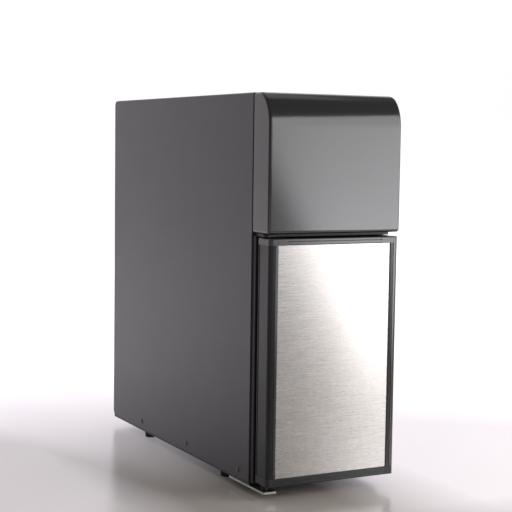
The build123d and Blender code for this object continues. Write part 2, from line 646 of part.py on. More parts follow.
def divider_plate():
    plate = block((-INNER_X, INNER_X), (FRONT_Y + SHEET, BACK_PANEL_Y - 2 * SHEET),
                  (DIVIDER_Z, DIVIDER_Z + SHEET))
    capillary_hole = rod_z(2.5, BULB_X, LINER_BACK_Y + 38.0, (DIVIDER_Z - 1.0, DIVIDER_Z + 3.0))
    return plate - lead_hole() - capillary_hole


def heater_mats():
    """Flat heaters on the liner's two sides and under its floor."""
    along = (LINER_FRONT_Y + 20.0, LINER_BACK_Y - 10.0)
    mats = [block(sorted((side * LINER_X, side * (LINER_X + HEATER_THICK))), along, (70.0, 320.0))
            for side in (-1, 1)]
    mats.append(block((-80.0, 80.0), along, (LINER_BOTTOM_Z - HEATER_THICK, LINER_BOTTOM_Z)))
    return Compound(children=mats)


CUTOUT_RADIUS = 10.0
CUTOUT_X = -30.0
CUTOUT_Z = 200.0
BULB_RADIUS = 3.5
BULB_X = 30.0
BULB_Z = 230.0


def thermal_cutout():
    """The snap disc that opens the heater's supply if the liner overheats."""
    can = rod_y(CUTOUT_RADIUS, CUTOUT_X, (LINER_BACK_Y, LINER_BACK_Y + 9.0), CUTOUT_Z)
    can = fillet(can.edges().sort_by(Axis.Y)[-1], 1.0)
    tags = [block((CUTOUT_X + x - 0.4, CUTOUT_X + x + 0.4), (LINER_BACK_Y + 9.0, LINER_BACK_Y + 17.0),
                  (CUTOUT_Z - 3.0, CUTOUT_Z + 3.0)) for x in (-5.0, 5.0)]
    return can + tags


def thermostat_bulb():
    """The sensing bulb in the liner's back, and its capillary up to the thermostat."""
    bulb = rod_y(BULB_RADIUS, BULB_X, (LINER_BACK_Y, LINER_BACK_Y + 26.0), BULB_Z)
    run_y = LINER_BACK_Y + 38.0
    route = [
        (BULB_X, LINER_BACK_Y + 25.0, BULB_Z),
        (BULB_X, run_y, BULB_Z),
        (BULB_X, run_y, DIVIDER_Z + 15.0),
        (KNOB_X, run_y, CONTROL_Z - 36.0),
        (KNOB_X, run_y, CONTROL_Z - 14.0),
    ]
    return bulb + wire_along(route, 1.0, 9.0)


# ---------------------------------------------------------------- racks and tray
WIRE_RADIUS = 2.5
CROSS_WIRE_RADIUS = 1.5
CROSS_WIRE_COUNT = 17
RACK_X = CHAMBER_HALF_W - 5.5
RAIL_SHEET = 1.5
STOP_HEIGHT = 8.0


def rack_rails():
    """Four angle rails on the chamber's sides, each with a stop at both ends."""
    y = (RACK_FRONT_Y - RACK_TRAVEL - 2 * WIRE_RADIUS, RACK_BACK_Y + 2 * WIRE_RADIUS)
    rails = []
    for level in RACK_LEVELS:
        for side in (-1, 1):
            wall = side * CHAMBER_HALF_W
            ledge = block(sorted((wall, wall - side * RAIL_LEDGE)), y, (level - RAIL_SHEET, level))
            web = block(sorted((wall, wall - side * RAIL_SHEET)), y, (level - 14.0, level))
            stops = [block(sorted((wall, wall - side * RAIL_LEDGE)), (end, end + RAIL_SHEET),
                           (level - RAIL_SHEET, level + STOP_HEIGHT))
                     for end in (y[0], y[1] - RAIL_SHEET)]
            rails.append(ledge + web + stops)
    return Compound(children=rails)


def towel_rack(level):
    """A welded wire shelf that slides on a pair of rails."""
    z = level + SLIDE_GAP + WIRE_RADIUS
    corners = [(-RACK_X, RACK_FRONT_Y, z), (RACK_X, RACK_FRONT_Y, z),
               (RACK_X, RACK_BACK_Y, z), (-RACK_X, RACK_BACK_Y, z)]
    rack = wire_along(corners, WIRE_RADIUS, 7.0, close=True)
    lift = WIRE_RADIUS + CROSS_WIRE_RADIUS - 0.8
    length = RACK_BACK_Y - RACK_FRONT_Y
    for index in range(1, CROSS_WIRE_COUNT + 1):
        y = RACK_FRONT_Y + length * index / (CROSS_WIRE_COUNT + 1)
        rack += rod_x(CROSS_WIRE_RADIUS, (-RACK_X, RACK_X), y, z + lift)
    for x in (-RACK_X / 2, 0, RACK_X / 2):
        rack += rod_y(WIRE_RADIUS - 0.5, x, (RACK_FRONT_Y, RACK_BACK_Y), z)
    return rack


TRAY_HALF_W = 82.0
TRAY_HEIGHT = 16.0
TRAY_WALL = 1.2
TRAY_FRONT_Y = LINER_FRONT_Y + RACK_TRAVEL + 1.0
TRAY_BACK_Y = 200.0


def drip_tray():
    floor = CHAMBER_FLOOR_Z + SLIDE_GAP
    outer = block((-TRAY_HALF_W, TRAY_HALF_W), (TRAY_FRONT_Y, TRAY_BACK_Y), (floor, floor + TRAY_HEIGHT))
    outer = fillet(outer.edges().filter_by(Axis.Z), 8.0)
    inner = block((-TRAY_HALF_W + TRAY_WALL, TRAY_HALF_W - TRAY_WALL),
                  (TRAY_FRONT_Y + TRAY_WALL, TRAY_BACK_Y - TRAY_WALL),
                  (floor + TRAY_WALL, floor + TRAY_HEIGHT + 1.0))
    inner = fillet(inner.edges().filter_by(Axis.Z), 8.0 - TRAY_WALL)
    return outer - inner


# ---------------------------------------------------------------- lamp
LAMP_RADIUS = 8.0
LAMP_Z = 340.0
LAMP_Y = (-140.0, 148.0)
LAMP_CAP = 9.0


def uv_lamp_tube():
    return rod_y(LAMP_RADIUS, 0, (LAMP_Y[0] + LAMP_CAP, LAMP_Y[1] - LAMP_CAP), LAMP_Z)


def uv_lamp_caps():
    caps = []
    for end, inward in ((LAMP_Y[0], 1), (LAMP_Y[1], -1)):
        cap = rod_y(LAMP_RADIUS + 0.4, 0, sorted((end, end + inward * LAMP_CAP)), LAMP_Z)
        pins = [rod_y(1.1, x, sorted((end, end - inward * 6.0)), LAMP_Z) for x in (-2.4, 2.4)]
        caps.append(cap + pins)
    return Compound(children=caps)


def uv_lamp_holders():
    holders = []
    for end, outward in ((LAMP_Y[0], -1), (LAMP_Y[1], 1)):
        y = sorted((end, end + outward * 14.0))
        holder = block((-11.0, 11.0), y, (LAMP_Z - 10.0, CHAMBER_TOP_Z))
        holder = fillet(holder.edges().filter_by(Axis.Y).sort_by(Axis.Z)[:2], 6.0)
        for x in (-2.4, 2.4):
            holder -= rod_y(1.2, x, sorted((end - outward, end + outward * 7.0)), LAMP_Z)
        holders.append(holder)
    return Compound(children=holders)


GUARD_RADIUS = 15.0
GUARD_WIRE = 1.2
GUARD_LONG_WIRE = 1.0
GUARD_HOOPS = 7


def uv_lamp_guard():
    """A wire cage under the lamp, hung from the chamber's roof."""
    span = (LAMP_Y[0] + 16.0, LAMP_Y[1] - 16.0)
    corners = [(-GUARD_RADIUS, 0, CHAMBER_TOP_Z), (-GUARD_RADIUS, 0, LAMP_Z - GUARD_RADIUS),
               (GUARD_RADIUS, 0, LAMP_Z - GUARD_RADIUS), (GUARD_RADIUS, 0, CHAMBER_TOP_Z)]
    hoop = wire_along(corners, GUARD_WIRE, 10.0)
    reach = GUARD_WIRE + GUARD_LONG_WIRE - 0.6
    side_x = GUARD_RADIUS + reach
    long_places = [(-side_x, LAMP_Z), (side_x, LAMP_Z)]
    long_places += [(x, LAMP_Z - GUARD_RADIUS - reach) for x in (-4.0, 4.0)]
    long_wires = [rod_y(GUARD_LONG_WIRE, x, (span[0] - 3.0, span[1] + 3.0), z)
                  for x, z in long_places]
    step = (span[1] - span[0]) / (GUARD_HOOPS - 1)
    hoops = [Pos(0, span[0] + step * index, 0) * hoop for index in range(GUARD_HOOPS)]
    return hoops[0] + hoops[1:] + long_wires


# ---------------------------------------------------------------- upper bay
BAY_FLOOR_Z = DIVIDER_Z + SHEET
BALLAST = ((20.0, 66.0), (60.0, 210.0), (BAY_FLOOR_Z, BAY_FLOOR_Z + 30.0))
TERMINAL = ((-78.0, -34.0), (190.0, 212.0), (BAY_FLOOR_Z, BAY_FLOOR_Z + 20.0))
TERMINAL_WAYS = 5


def lamp_ballast():
    body = block(*BALLAST)
    body = fillet(body.edges().filter_by(Axis.Y).sort_by(Axis.Z)[-2:], 4.0)
    x, y, z = BALLAST
    ears = block((x[0] + 10.0, x[1] - 10.0), (y[0] - 10.0, y[1] + 10.0), (z[0], z[0] + 1.5))
    return body + ears


def terminal_block():
    body = block(*TERMINAL)
    x, y, z = TERMINAL
    pitch = (x[1] - x[0]) / TERMINAL_WAYS
    for way in range(TERMINAL_WAYS):
        centre = x[0] + pitch * (way + 0.5)
        body -= rod_z(2.6, centre, (y[0] + y[1]) / 2, (z[1] - 5.0, z[1] + 1.0))
        body -= rod_y(1.8, centre, (y[0] - 1.0, y[0] + 6.0), z[0] + 8.0)
    return body


def terminal_screws():
    x, y, z = TERMINAL
    pitch = (x[1] - x[0]) / TERMINAL_WAYS
    screws = []
    for way in range(TERMINAL_WAYS):
        centre = x[0] + pitch * (way + 0.5)
        head = rod_z(2.4, centre, (y[0] + y[1]) / 2, (z[1] - 5.0, z[1] - 2.5))
        slot = block((centre - 3.0, centre + 3.0), ((y[0] + y[1]) / 2 - 0.4, (y[0] + y[1]) / 2 + 0.4),
                     (z[1] - 3.3, z[1]))
        screws.append(head - slot)
    return Compound(children=screws)


def supply_lead():
    """From the back of the mains inlet down to the terminal block."""
    x, y, z = TERMINAL
    start_y = CONTROL_FACE_Y - 26.0
    return wire_along([(INLET_X, start_y, CONTROL_Z), (INLET_X, 240.0, CONTROL_Z),
                       (INLET_X, 240.0, z[0] + 8.0), (INLET_X, y[1], z[0] + 8.0)],
                      LEAD_RADIUS, 9.0)


def lamp_lead():
    """From the ballast down through the roof of the chamber to the lamp."""
    run_z = BAY_FLOOR_Z + 16.0
    return wire_along([(BALLAST[0][0], LEAD_HOLE_Y - 30.0, run_z), (0.0, LEAD_HOLE_Y - 30.0, run_z),
                       (0.0, LEAD_HOLE_Y, run_z), (0.0, LEAD_HOLE_Y, CHAMBER_TOP_Z)],
                      LEAD_RADIUS, 8.0)


# ---------------------------------------------------------------- door switch
SWITCH_BODY = ((99.4, 109.6), (FRONT_Y + SHEET, FRONT_Y + SHEET + 18.0), (330.0, 350.0))
PLUNGER_TIP_Y = DOOR_BACK_Y + SLIDE_GAP
PLUNGER_END_Y = FRONT_Y + 10.0


def switch_body_block(margin):
    x, y, z = SWITCH_BODY
    return block((x[0] - margin - 5.0, x[1] + margin), (y[0] - margin, y[1] + margin),
                 (z[0] - margin, z[1] + margin))


def door_switch_body():
    body = block(*SWITCH_BODY)
    return body - rod_y(PLUNGER_RADIUS + PLUNGER_CLEARANCE, PLUNGER_X,
                        (SWITCH_BODY[1][0] - 1.0, PLUNGER_END_Y + 1.0), PLUNGER_Z)


def door_switch_plunger():
    plunger = rod_y(PLUNGER_RADIUS, PLUNGER_X, (PLUNGER_TIP_Y, PLUNGER_END_Y), PLUNGER_Z)
    return fillet(plunger.edges().sort_by(Axis.Y)[0], 1.4)


# ---------------------------------------------------------------- door
DOOR_DEPTH = DOOR_BACK_Y - DOOR_FRONT_Y
PANEL_HALF_W = DOOR_HALF_W - STILE_FACE + LIP
PANEL_BOTTOM_Z = DOOR_BOTTOM_Z + BOTTOM_RAIL_FACE - LIP
PANEL_TOP_Z = DOOR_TOP_Z - TOP_RAIL_FACE + LIP
PANEL_FRONT_Y = DOOR_FRONT_Y + LIP_THICK
STILE_GROOVE = 8.2
STILE_BAND_DROP = 0.5
RAIL_GROOVE = 0.39            # place of the groove, as a share of the rail's face
CAP_CORNER_RADIUS = 3.0
HOLLOW_WALL = 2.2
INNER_SKIN = 2.0
DYKE_Y = FRAME_FRONT_Y + 3.0
DYKE = ((-80.0, 80.0), (56.0, 350.0))
DYKE_WALL = 1.6


def frame_section(face, groove, edge_radius, band_drop):
    """Cross-section of the door's extrusion: u is inward from the door's edge,
    v is back from its front. A front band and an inner band with a groove between
    them, a lip over the panel, and a shallow channel down the outer side between
    two ridges. The outer front corner is square here, and rounded afterwards."""
    groove_width = 0.9
    groove_depth = 0.8
    lip_chamfer = 1.2
    ridge = 1.5
    channel = 0.8
    body = face - LIP
    band_start = groove + groove_width + 0.3
    return [
        (0.0, 0.0),
        (groove, 0.0),
        (groove + 0.3, groove_depth),
        (groove + groove_width, groove_depth),
        (band_start, 0.1),
        (face - lip_chamfer, band_drop),
        (face, LIP_THICK - 0.5),
        (face, LIP_THICK),
        (body, LIP_THICK),
        (body, DOOR_DEPTH),
        (0.6, DOOR_DEPTH),
        (0.0, DOOR_DEPTH - 0.6),
        (0.0, DOOR_DEPTH - 0.6 - ridge),
        (channel, DOOR_DEPTH - 1.0 - ridge),
        (channel, edge_radius + 0.4 + ridge),
        (0.0, edge_radius + ridge),
    ]


def hollow_section(face, wall):
    body = face - LIP
    return [(wall, wall + 0.6), (body - wall + 0.8, wall + 0.6),
            (body - wall + 0.8, DOOR_DEPTH - wall), (wall, DOOR_DEPTH - wall)]


def round_edge(solid, direction, radius, **place):
    """Rounds the edges of a solid that lie along a direction at a place."""
    edges = [edge for edge in solid.edges().filter_by(direction)
             if all(abs(getattr(edge.center(), axis) - value) < 0.01 for axis, value in place.items())]
    return fillet(edges, radius)


def stile_face(section, side):
    points = [(side * (DOOR_HALF_W - u), DOOR_FRONT_Y + v) for u, v in section]
    return make_face(Polyline(*points, close=True))


def door_stile(side):
    low = DOOR_BOTTOM_Z + BOTTOM_RAIL_FACE
    high = DOOR_TOP_Z - TOP_RAIL_FACE
    section = frame_section(STILE_FACE, STILE_GROOVE, STILE_EDGE_RADIUS, STILE_BAND_DROP)
    profile = stile_face(section, side) - stile_face(hollow_section(STILE_FACE, HOLLOW_WALL), side)
    stile = Pos(0, 0, low) * extrude(profile, amount=high - low, dir=(0, 0, 1))
    return round_edge(stile, Axis.Z, STILE_EDGE_RADIUS, X=side * DOOR_HALF_W, Y=DOOR_FRONT_Y)


def rail_face(section, top):
    edge = DOOR_TOP_Z if top else DOOR_BOTTOM_Z
    turn = -1 if top else 1
    points = [(DOOR_FRONT_Y + v, edge + turn * u) for u, v in section]
    return make_face(Polyline(*points, close=True))


def door_rail(top):
    face = TOP_RAIL_FACE if top else BOTTOM_RAIL_FACE
    cap = TOP_CAP_LENGTH if top else BOTTOM_CAP_LENGTH
    section = frame_section(face, RAIL_GROOVE * face, RAIL_EDGE_RADIUS, 0.0)
    profile = rail_face(section, top) - rail_face(hollow_section(face, HOLLOW_WALL), top)
    rail = extrude(Plane.YZ * profile, amount=DOOR_HALF_W - cap, both=True)
    outer_z = DOOR_TOP_Z if top else DOOR_BOTTOM_Z
    return round_edge(rail, Axis.X, RAIL_EDGE_RADIUS, Y=DOOR_FRONT_Y, Z=outer_z)


def door_infill(grow):
    """The space inside the frame that panel, core and inner skin fill."""
    return block((-PANEL_HALF_W - grow, PANEL_HALF_W + grow), (PANEL_FRONT_Y, DOOR_BACK_Y + 1.0),
                 (PANEL_BOTTOM_Z - grow, PANEL_TOP_Z + grow))


def corner_cap(side, top):
    """A moulded corner block with a tenon up or down into its stile and rail."""
    face = TOP_RAIL_FACE if top else BOTTOM_RAIL_FACE
    length = TOP_CAP_LENGTH if top else BOTTOM_CAP_LENGTH
    z = (DOOR_TOP_Z - face, DOOR_TOP_Z) if top else (DOOR_BOTTOM_Z, DOOR_BOTTOM_Z + face)
    outer_x = side * DOOR_HALF_W
    outer_z = DOOR_TOP_Z if top else DOOR_BOTTOM_Z
    plain = block(sorted((outer_x, side * (DOOR_HALF_W - length))), (DOOR_FRONT_Y, DOOR_BACK_Y), z)
    cap = round_edge(plain, Axis.Z, STILE_EDGE_RADIUS, X=outer_x, Y=DOOR_FRONT_Y)
    cap &= round_edge(plain, Axis.X, RAIL_EDGE_RADIUS, Y=DOOR_FRONT_Y, Z=outer_z)
    cap &= round_edge(plain, Axis.Y, CAP_CORNER_RADIUS, X=outer_x, Z=outer_z)
    cap -= door_infill(0)
    gap = 0.15
    tenon_wall = HOLLOW_WALL + gap
    tenon_x = sorted((side * (DOOR_HALF_W - tenon_wall),
                      side * (DOOR_HALF_W - STILE_FACE + LIP - 0.8 + tenon_wall)))
    tenon_y = (DOOR_FRONT_Y + tenon_wall + 0.6, DOOR_BACK_Y - tenon_wall)
    reach = 12.0
    tenon_z = (z[0] - reach, z[0]) if top else (z[1], z[1] + reach)
    cap += block(tenon_x, tenon_y, tenon_z)
    rail_x = sorted((side * (DOOR_HALF_W - length), side * (DOOR_HALF_W - length - reach)))
    low, high = tenon_wall, face - LIP - tenon_wall + 0.8
    rail_z = (DOOR_TOP_Z - high, DOOR_TOP_Z - low) if top else (DOOR_BOTTOM_Z + low, DOOR_BOTTOM_Z + high)
    cap += block(rail_x, tenon_y, rail_z)
    if side < 0:
        bore = (DOOR_TOP_Z - face, DOOR_TOP_Z + 1.0) if top else (DOOR_BOTTOM_Z - 1.0, z[1] - 1.0)
        cap -= rod_z(BUSH_RADIUS, PIVOT_X, PIVOT_Y, bore)
    return cap


def door_top_corners():
    return Compound(children=[corner_cap(side, True) for side in (-1, 1)])


def door_bottom_corners():
    return Compound(children=[corner_cap(side, False) for side in (-1, 1)])


def door_outer_panel():
    return block((-PANEL_HALF_W, PANEL_HALF_W), (PANEL_FRONT_Y, PANEL_FRONT_Y + PANEL_SHEET),
                 (PANEL_BOTTOM_Z, PANEL_TOP_Z))


def dyke_block(inset, front, back):
    x, z = DYKE
    raised = block((x[0] + inset, x[1] - inset), (front, back), (z[0] + inset, z[1] - inset))
    return fillet(raised.edges().filter_by(Axis.Y), 6.0 - inset)


def door_core():
    core = block((-PANEL_HALF_W, PANEL_HALF_W),
                 (PANEL_FRONT_Y + PANEL_SHEET, DOOR_BACK_Y - INNER_SKIN),
                 (PANEL_BOTTOM_Z, PANEL_TOP_Z))
    core += dyke_block(DYKE_WALL, DOOR_BACK_Y - INNER_SKIN - 1.0, DYKE_Y - DYKE_WALL)
    for z in ((DOOR_BOTTOM_Z, DOOR_BOTTOM_Z + 13.0), (DOOR_TOP_Z - 11.0, DOOR_TOP_Z)):
        core -= rod_z(BUSH_RADIUS + 0.5, PIVOT_X, PIVOT_Y, z)
    return core


def door_inner_skin():
    skin = block((-PANEL_HALF_W, PANEL_HALF_W), (DOOR_BACK_Y - INNER_SKIN, DOOR_BACK_Y),
                 (PANEL_BOTTOM_Z, PANEL_TOP_Z))
    skin += dyke_block(0, DOOR_BACK_Y - INNER_SKIN, DYKE_Y)
    return skin - dyke_block(DYKE_WALL, DOOR_BACK_Y - INNER_SKIN - 1.0, DYKE_Y - DYKE_WALL)


GASKET_OUTER_X = 101.0
GASKET_Z = (27.0, 382.0)
GASKET_WIDTH = 12.0


def ring(y, inset, width):
    """One rectangular layer of the gasket."""
    x = GASKET_OUTER_X - inset
    z = (GASKET_Z[0] + inset, GASKET_Z[1] - inset)
    outer = block((-x, x), y, z)
    outer = fillet(outer.edges().filter_by(Axis.Y), 4.0)
    inner = block((-x + width, x - width), (y[0] - 1.0, y[1] + 1.0), (z[0] + width, z[1] - width))
    return outer - fillet(inner.edges().filter_by(Axis.Y), 2.0)


def door_gasket():
    """Magnetic door seal: foot, folded bellows and sealing head."""
    foot = (DOOR_BACK_Y, DOOR_BACK_Y + 1.6)
    neck = (foot[1] - 0.1, foot[1] + 2.5)
    head = (neck[1] - 0.1, FRAME_FRONT_Y - SLIDE_GAP)
    return ring(foot, 1.5, GASKET_WIDTH - 3.0) + ring(neck, 3.0, GASKET_WIDTH - 6.0) + \
        ring(head, 0.0, GASKET_WIDTH)


def door_bushes():
    """Nylon bushes in the left-hand corner blocks; the lower one's collar carries the door."""
    bore = PIN_RADIUS + RUNNING_CLEARANCE
    lower_z = (DOOR_BOTTOM_Z, DOOR_BOTTOM_Z + BOTTOM_RAIL_FACE - 1.0)
    lower = rod_z(BUSH_RADIUS, PIVOT_X, PIVOT_Y, lower_z)
    lower += rod_z(BUSH_RADIUS + 0.5, PIVOT_X, PIVOT_Y, (PAN_Z + SLIDE_GAP, DOOR_BOTTOM_Z))
    lower -= rod_z(bore, PIVOT_X, PIVOT_Y, (PAN_Z, DOOR_BOTTOM_Z + 10.6))
    upper = rod_z(BUSH_RADIUS, PIVOT_X, PIVOT_Y, (DOOR_TOP_Z - TOP_RAIL_FACE, DOOR_TOP_Z))
    upper -= rod_z(bore, PIVOT_X, PIVOT_Y, (DOOR_TOP_Z - 9.6, DOOR_TOP_Z + 2.0))
    return Compound(children=[lower, upper])


PARTS = {
    "casing_wrapper": casing_wrapper,
    "base_pan": base_pan,
    "side_panel_screws": side_panel_screws,
    "back_panel": back_panel,
    "control_plate": control_plate,
    "back_panel_screws": back_panel_screws,
    "divider_plate": divider_plate,
    "fascia_cover": fascia_cover,
    "fascia_mounting_plate": fascia_mounting_plate,
    "fascia_screws": fascia_screws,
    "front_frame": front_frame,
    "upper_hinge_rail": upper_hinge_rail,
    "lower_hinge_bracket": lower_hinge_bracket,
    "hinge_pins": hinge_pins,
    "hinge_screws": hinge_screws,
    "rubber_feet": rubber_feet,
    "foot_screws": foot_screws,
    "inner_liner": inner_liner,
    "insulation_left": lambda: insulation_side(-1),
    "insulation_right": lambda: insulation_side(1),
    "insulation_top": insulation_top,
    "insulation_bottom": insulation_bottom,
    "insulation_rear": insulation_rear,
    "heater_mats": heater_mats,
    "thermal_cutout": thermal_cutout,
    "thermostat_bulb": thermostat_bulb,
    "rack_rails": rack_rails,
    "upper_towel_rack": lambda: towel_rack(RACK_LEVELS[1]),
    "lower_towel_rack": lambda: towel_rack(RACK_LEVELS[0]),
    "drip_tray": drip_tray,
    "uv_lamp_tube": uv_lamp_tube,
    "uv_lamp_caps": uv_lamp_caps,
    "uv_lamp_holders": uv_lamp_holders,
    "uv_lamp_guard": uv_lamp_guard,
    "lamp_ballast": lamp_ballast,
    "terminal_block": terminal_block,
    "terminal_screws": terminal_screws,
    "supply_lead": supply_lead,
    "lamp_lead": lamp_lead,
    "power_inlet": power_inlet,
    "power_inlet_pins": power_inlet_pins,
    "switch_housings": switch_housings,
    "power_switch_rocker": lambda: switch_rocker(SWITCH_X[0]),
    "lamp_switch_rocker": lambda: switch_rocker(SWITCH_X[1]),
    "thermostat_body": thermostat_body,
    "thermostat_spindle": thermostat_spindle,
    "thermostat_knob": thermostat_knob,
    "door_switch_body": door_switch_body,
    "door_switch_plunger": door_switch_plunger,
    "door_left_stile": lambda: door_stile(-1),
    "door_right_stile": lambda: door_stile(1),
    "door_top_rail": lambda: door_rail(True),
    "door_bottom_rail": lambda: door_rail(False),
    "door_top_corners": door_top_corners,
    "door_bottom_corners": door_bottom_corners,
    "door_outer_panel": door_outer_panel,
    "door_core": door_core,
    "door_inner_skin": door_inner_skin,
    "door_gasket": door_gasket,
    "door_bushes": door_bushes,
}

os.makedirs("parts", exist_ok=True)
for name, make in PARTS.items():
    export_step(make(), os.path.join("parts", name + ".step"))
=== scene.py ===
import json
import math

import bmesh
import bpy
from mathutils import Matrix, Vector


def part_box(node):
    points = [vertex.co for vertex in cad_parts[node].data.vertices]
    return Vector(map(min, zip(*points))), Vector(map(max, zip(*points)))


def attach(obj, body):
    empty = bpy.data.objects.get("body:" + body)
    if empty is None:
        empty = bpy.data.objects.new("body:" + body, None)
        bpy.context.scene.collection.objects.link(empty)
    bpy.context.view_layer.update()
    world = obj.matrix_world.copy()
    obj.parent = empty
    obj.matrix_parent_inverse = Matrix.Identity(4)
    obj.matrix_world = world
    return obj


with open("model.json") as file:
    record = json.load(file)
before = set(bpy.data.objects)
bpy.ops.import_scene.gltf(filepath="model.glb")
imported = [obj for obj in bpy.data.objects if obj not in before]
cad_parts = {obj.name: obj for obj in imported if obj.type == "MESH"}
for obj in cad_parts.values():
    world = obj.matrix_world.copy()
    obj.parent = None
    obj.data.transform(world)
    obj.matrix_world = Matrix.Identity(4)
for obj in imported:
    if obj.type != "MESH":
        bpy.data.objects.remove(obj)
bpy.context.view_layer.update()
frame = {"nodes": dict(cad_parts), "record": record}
nodes = frame["nodes"]
scene = bpy.context.scene

# ---------------------------------------------------------------- camera
CAMERA_PLACE = (-0.99607, -1.96114, 0.52031)
CAMERA_YAW = -27.579
CAMERA_PITCH = -4.820
CAMERA_ROLL = 0.801
CAMERA_LENS = 92.0


def make_camera():
    """The camera stands in front and to the left, and looks a little down."""
    yaw, pitch, roll = (math.radians(a) for a in (CAMERA_YAW, CAMERA_PITCH, CAMERA_ROLL))
    ahead = Vector((-math.sin(yaw) * math.cos(pitch), math.cos(yaw) * math.cos(pitch), math.sin(pitch)))
    right = Vector((math.cos(yaw), math.sin(yaw), 0.0))
    up = right.cross(ahead)
    camera_x = math.cos(roll) * right + math.sin(roll) * up
    camera_y = -math.sin(roll) * right + math.cos(roll) * up
    turn = Matrix((camera_x, camera_y, -ahead)).transposed()
    data = bpy.data.cameras.new("camera")
    data.lens = CAMERA_LENS
    data.sensor_width = 36.0
    data.clip_end = 50.0
    camera = bpy.data.objects.new("camera", data)
    camera.matrix_world = Matrix.Translation(CAMERA_PLACE) @ turn.to_4x4()
    scene.collection.objects.link(camera)
    scene.camera = camera


# ---------------------------------------------------------------- node helpers
class Graph:
    """A material's node tree, with short ways to add and join nodes."""

    def __init__(self, name):
        self.material = bpy.data.materials.new(name)
        self.material.use_nodes = True
        self.tree = self.material.node_tree
        self.tree.nodes.clear()
        self.output = self.add("ShaderNodeOutputMaterial")
        self.shader = self.add("ShaderNodeBsdfPrincipled")
        self.join(self.shader.outputs["BSDF"], self.output.inputs["Surface"])
        self.place = self.add("ShaderNodeTexCoord").outputs["Object"]

    def add(self, kind, **settings):
        node = self.tree.nodes.new(kind)
        for key, value in settings.items():
            setattr(node, key, value)
        return node

    def join(self, source, target):
        self.tree.links.new(source, target)

    def feed(self, target, value):
        """Sets a socket to a number or colour, or joins another socket to it."""
        if isinstance(value, bpy.types.NodeSocket):
            self.join(value, target)
        elif hasattr(value, "__len__") and len(value) == 3 and len(target.default_value) == 4:
            target.default_value = (*value, 1.0)
        else:
            target.default_value = value

    def principled(self, **values):
        """Sets the shader's sockets by name, with _ for a space."""
        for key, value in values.items():
            self.feed(self.shader.inputs[key.replace("_", " ")], value)

    def stretched(self, scale):
        """Object coordinates scaled along each axis."""
        mapping = self.add("ShaderNodeMapping")
        self.join(self.place, mapping.inputs["Vector"])
        mapping.inputs["Scale"].default_value = scale
        return mapping.outputs["Vector"]

    def noise(self, scale, detail=2.0, roughness=0.5, vector=None, distortion=0.0):
        node = self.add("ShaderNodeTexNoise")
        self.join(vector or self.place, node.inputs["Vector"])
        node.inputs["Scale"].default_value = scale
        node.inputs["Detail"].default_value = detail
        node.inputs["Roughness"].default_value = roughness
        node.inputs["Distortion"].default_value = distortion
        return node.outputs["Fac"]

    def voronoi(self, scale, feature="F1"):
        node = self.add("ShaderNodeTexVoronoi", feature=feature)
        self.join(self.place, node.inputs["Vector"])
        node.inputs["Scale"].default_value = scale
        return node.outputs["Distance"]

    def span(self, value, low_in, high_in, low_out, high_out):
        """Maps a value from one range to another, clamped."""
        node = self.add("ShaderNodeMapRange")
        self.feed(node.inputs["Value"], value)
        for key, number in (("From Min", low_in), ("From Max", high_in),
                            ("To Min", low_out), ("To Max", high_out)):
            self.feed(node.inputs[key], number)
        return node.outputs["Result"]

    def maths(self, operation, a, b=0.0):
        node = self.add("ShaderNodeMath", operation=operation)
        self.feed(node.inputs[0], a)
        self.feed(node.inputs[1], b)
        return node.outputs["Value"]

    def axis_values(self, *axes):
        """Object coordinates along the named axes."""
        split = self.add("ShaderNodeSeparateXYZ")
        self.join(self.place, split.inputs["Vector"])
        return [split.outputs[axis] for axis in axes]

    def mix(self, factor, a, b):
        node = self.add("ShaderNodeMix", data_type="RGBA")
        self.feed(node.inputs["Factor"], factor)
        self.feed(node.inputs["A"], a)
        self.feed(node.inputs["B"], b)
        return node.outputs["Result"]

    def bump(self, height, distance, strength=1.0, normal=None):
        node = self.add("ShaderNodeBump")
        self.join(height, node.inputs["Height"])
        node.inputs["Distance"].default_value = distance
        node.inputs["Strength"].default_value = strength
        if normal is not None:
            self.join(normal, node.inputs["Normal"])
        return node.outputs["Normal"]

    def soft_edges(self, radius):
        """A normal that rounds the edges off, and how near an edge a point is."""
        bevel = self.add("ShaderNodeBevel", samples=6)
        bevel.inputs["Radius"].default_value = radius
        geometry = self.add("ShaderNodeNewGeometry")
        dot = self.add("ShaderNodeVectorMath", operation="DOT_PRODUCT")
        self.join(bevel.outputs["Normal"], dot.inputs[0])
        self.join(geometry.outputs["Normal"], dot.inputs[1])
        return bevel.outputs["Normal"], self.span(dot.outputs["Value"], 1.0, 0.8, 0.0, 1.0)


# ---------------------------------------------------------------- materials
ZINC_DULLING = (0.86, 0.87, 0.9)      # shares of the colour left in a dull patch of zinc
STEEL_WARMING = (0.99, 0.97, 0.94)    # and in a slightly warmer patch of stainless steel
FRAME_BLACK = (0.02, 0.02, 0.022)


def powder_coat(name, colour, roughness, edge_colour, texture=0.00006):
    """Painted steel: a fine orange-peel texture, slight cloudiness, paint thin on the edges."""
    g = Graph(name)
    cloud = g.noise(6.0, 3.0)
    grain = g.noise(1400.0, 2.0, 0.6)
    peel = g.noise(420.0, 2.0)
    shade = g.mix(g.span(cloud, 0.35, 0.65, 0.0, 1.0),
                  [c * 0.98 for c in colour], [c * 1.02 for c in colour])
    shade = g.mix(g.span(grain, 0.62, 0.78, 0.0, 0.35), shade, [min(1.0, c * 1.9) for c in colour])
    rounded, edge = g.soft_edges(0.0007)
    worn = g.maths("MULTIPLY", edge, g.span(g.noise(160.0, 4.0), 0.45, 0.7, 0.0, 0.7))
    g.principled(
        Base_Color=g.mix(worn, shade, edge_colour),
        Roughness=g.span(g.noise(30.0, 4.0, 0.6), 0.3, 0.7, roughness - 0.01, roughness + 0.02),
        Normal=g.bump(grain, texture, 1.0, g.bump(peel, texture * 1.6, 1.0, rounded)),
    )
    return g.material


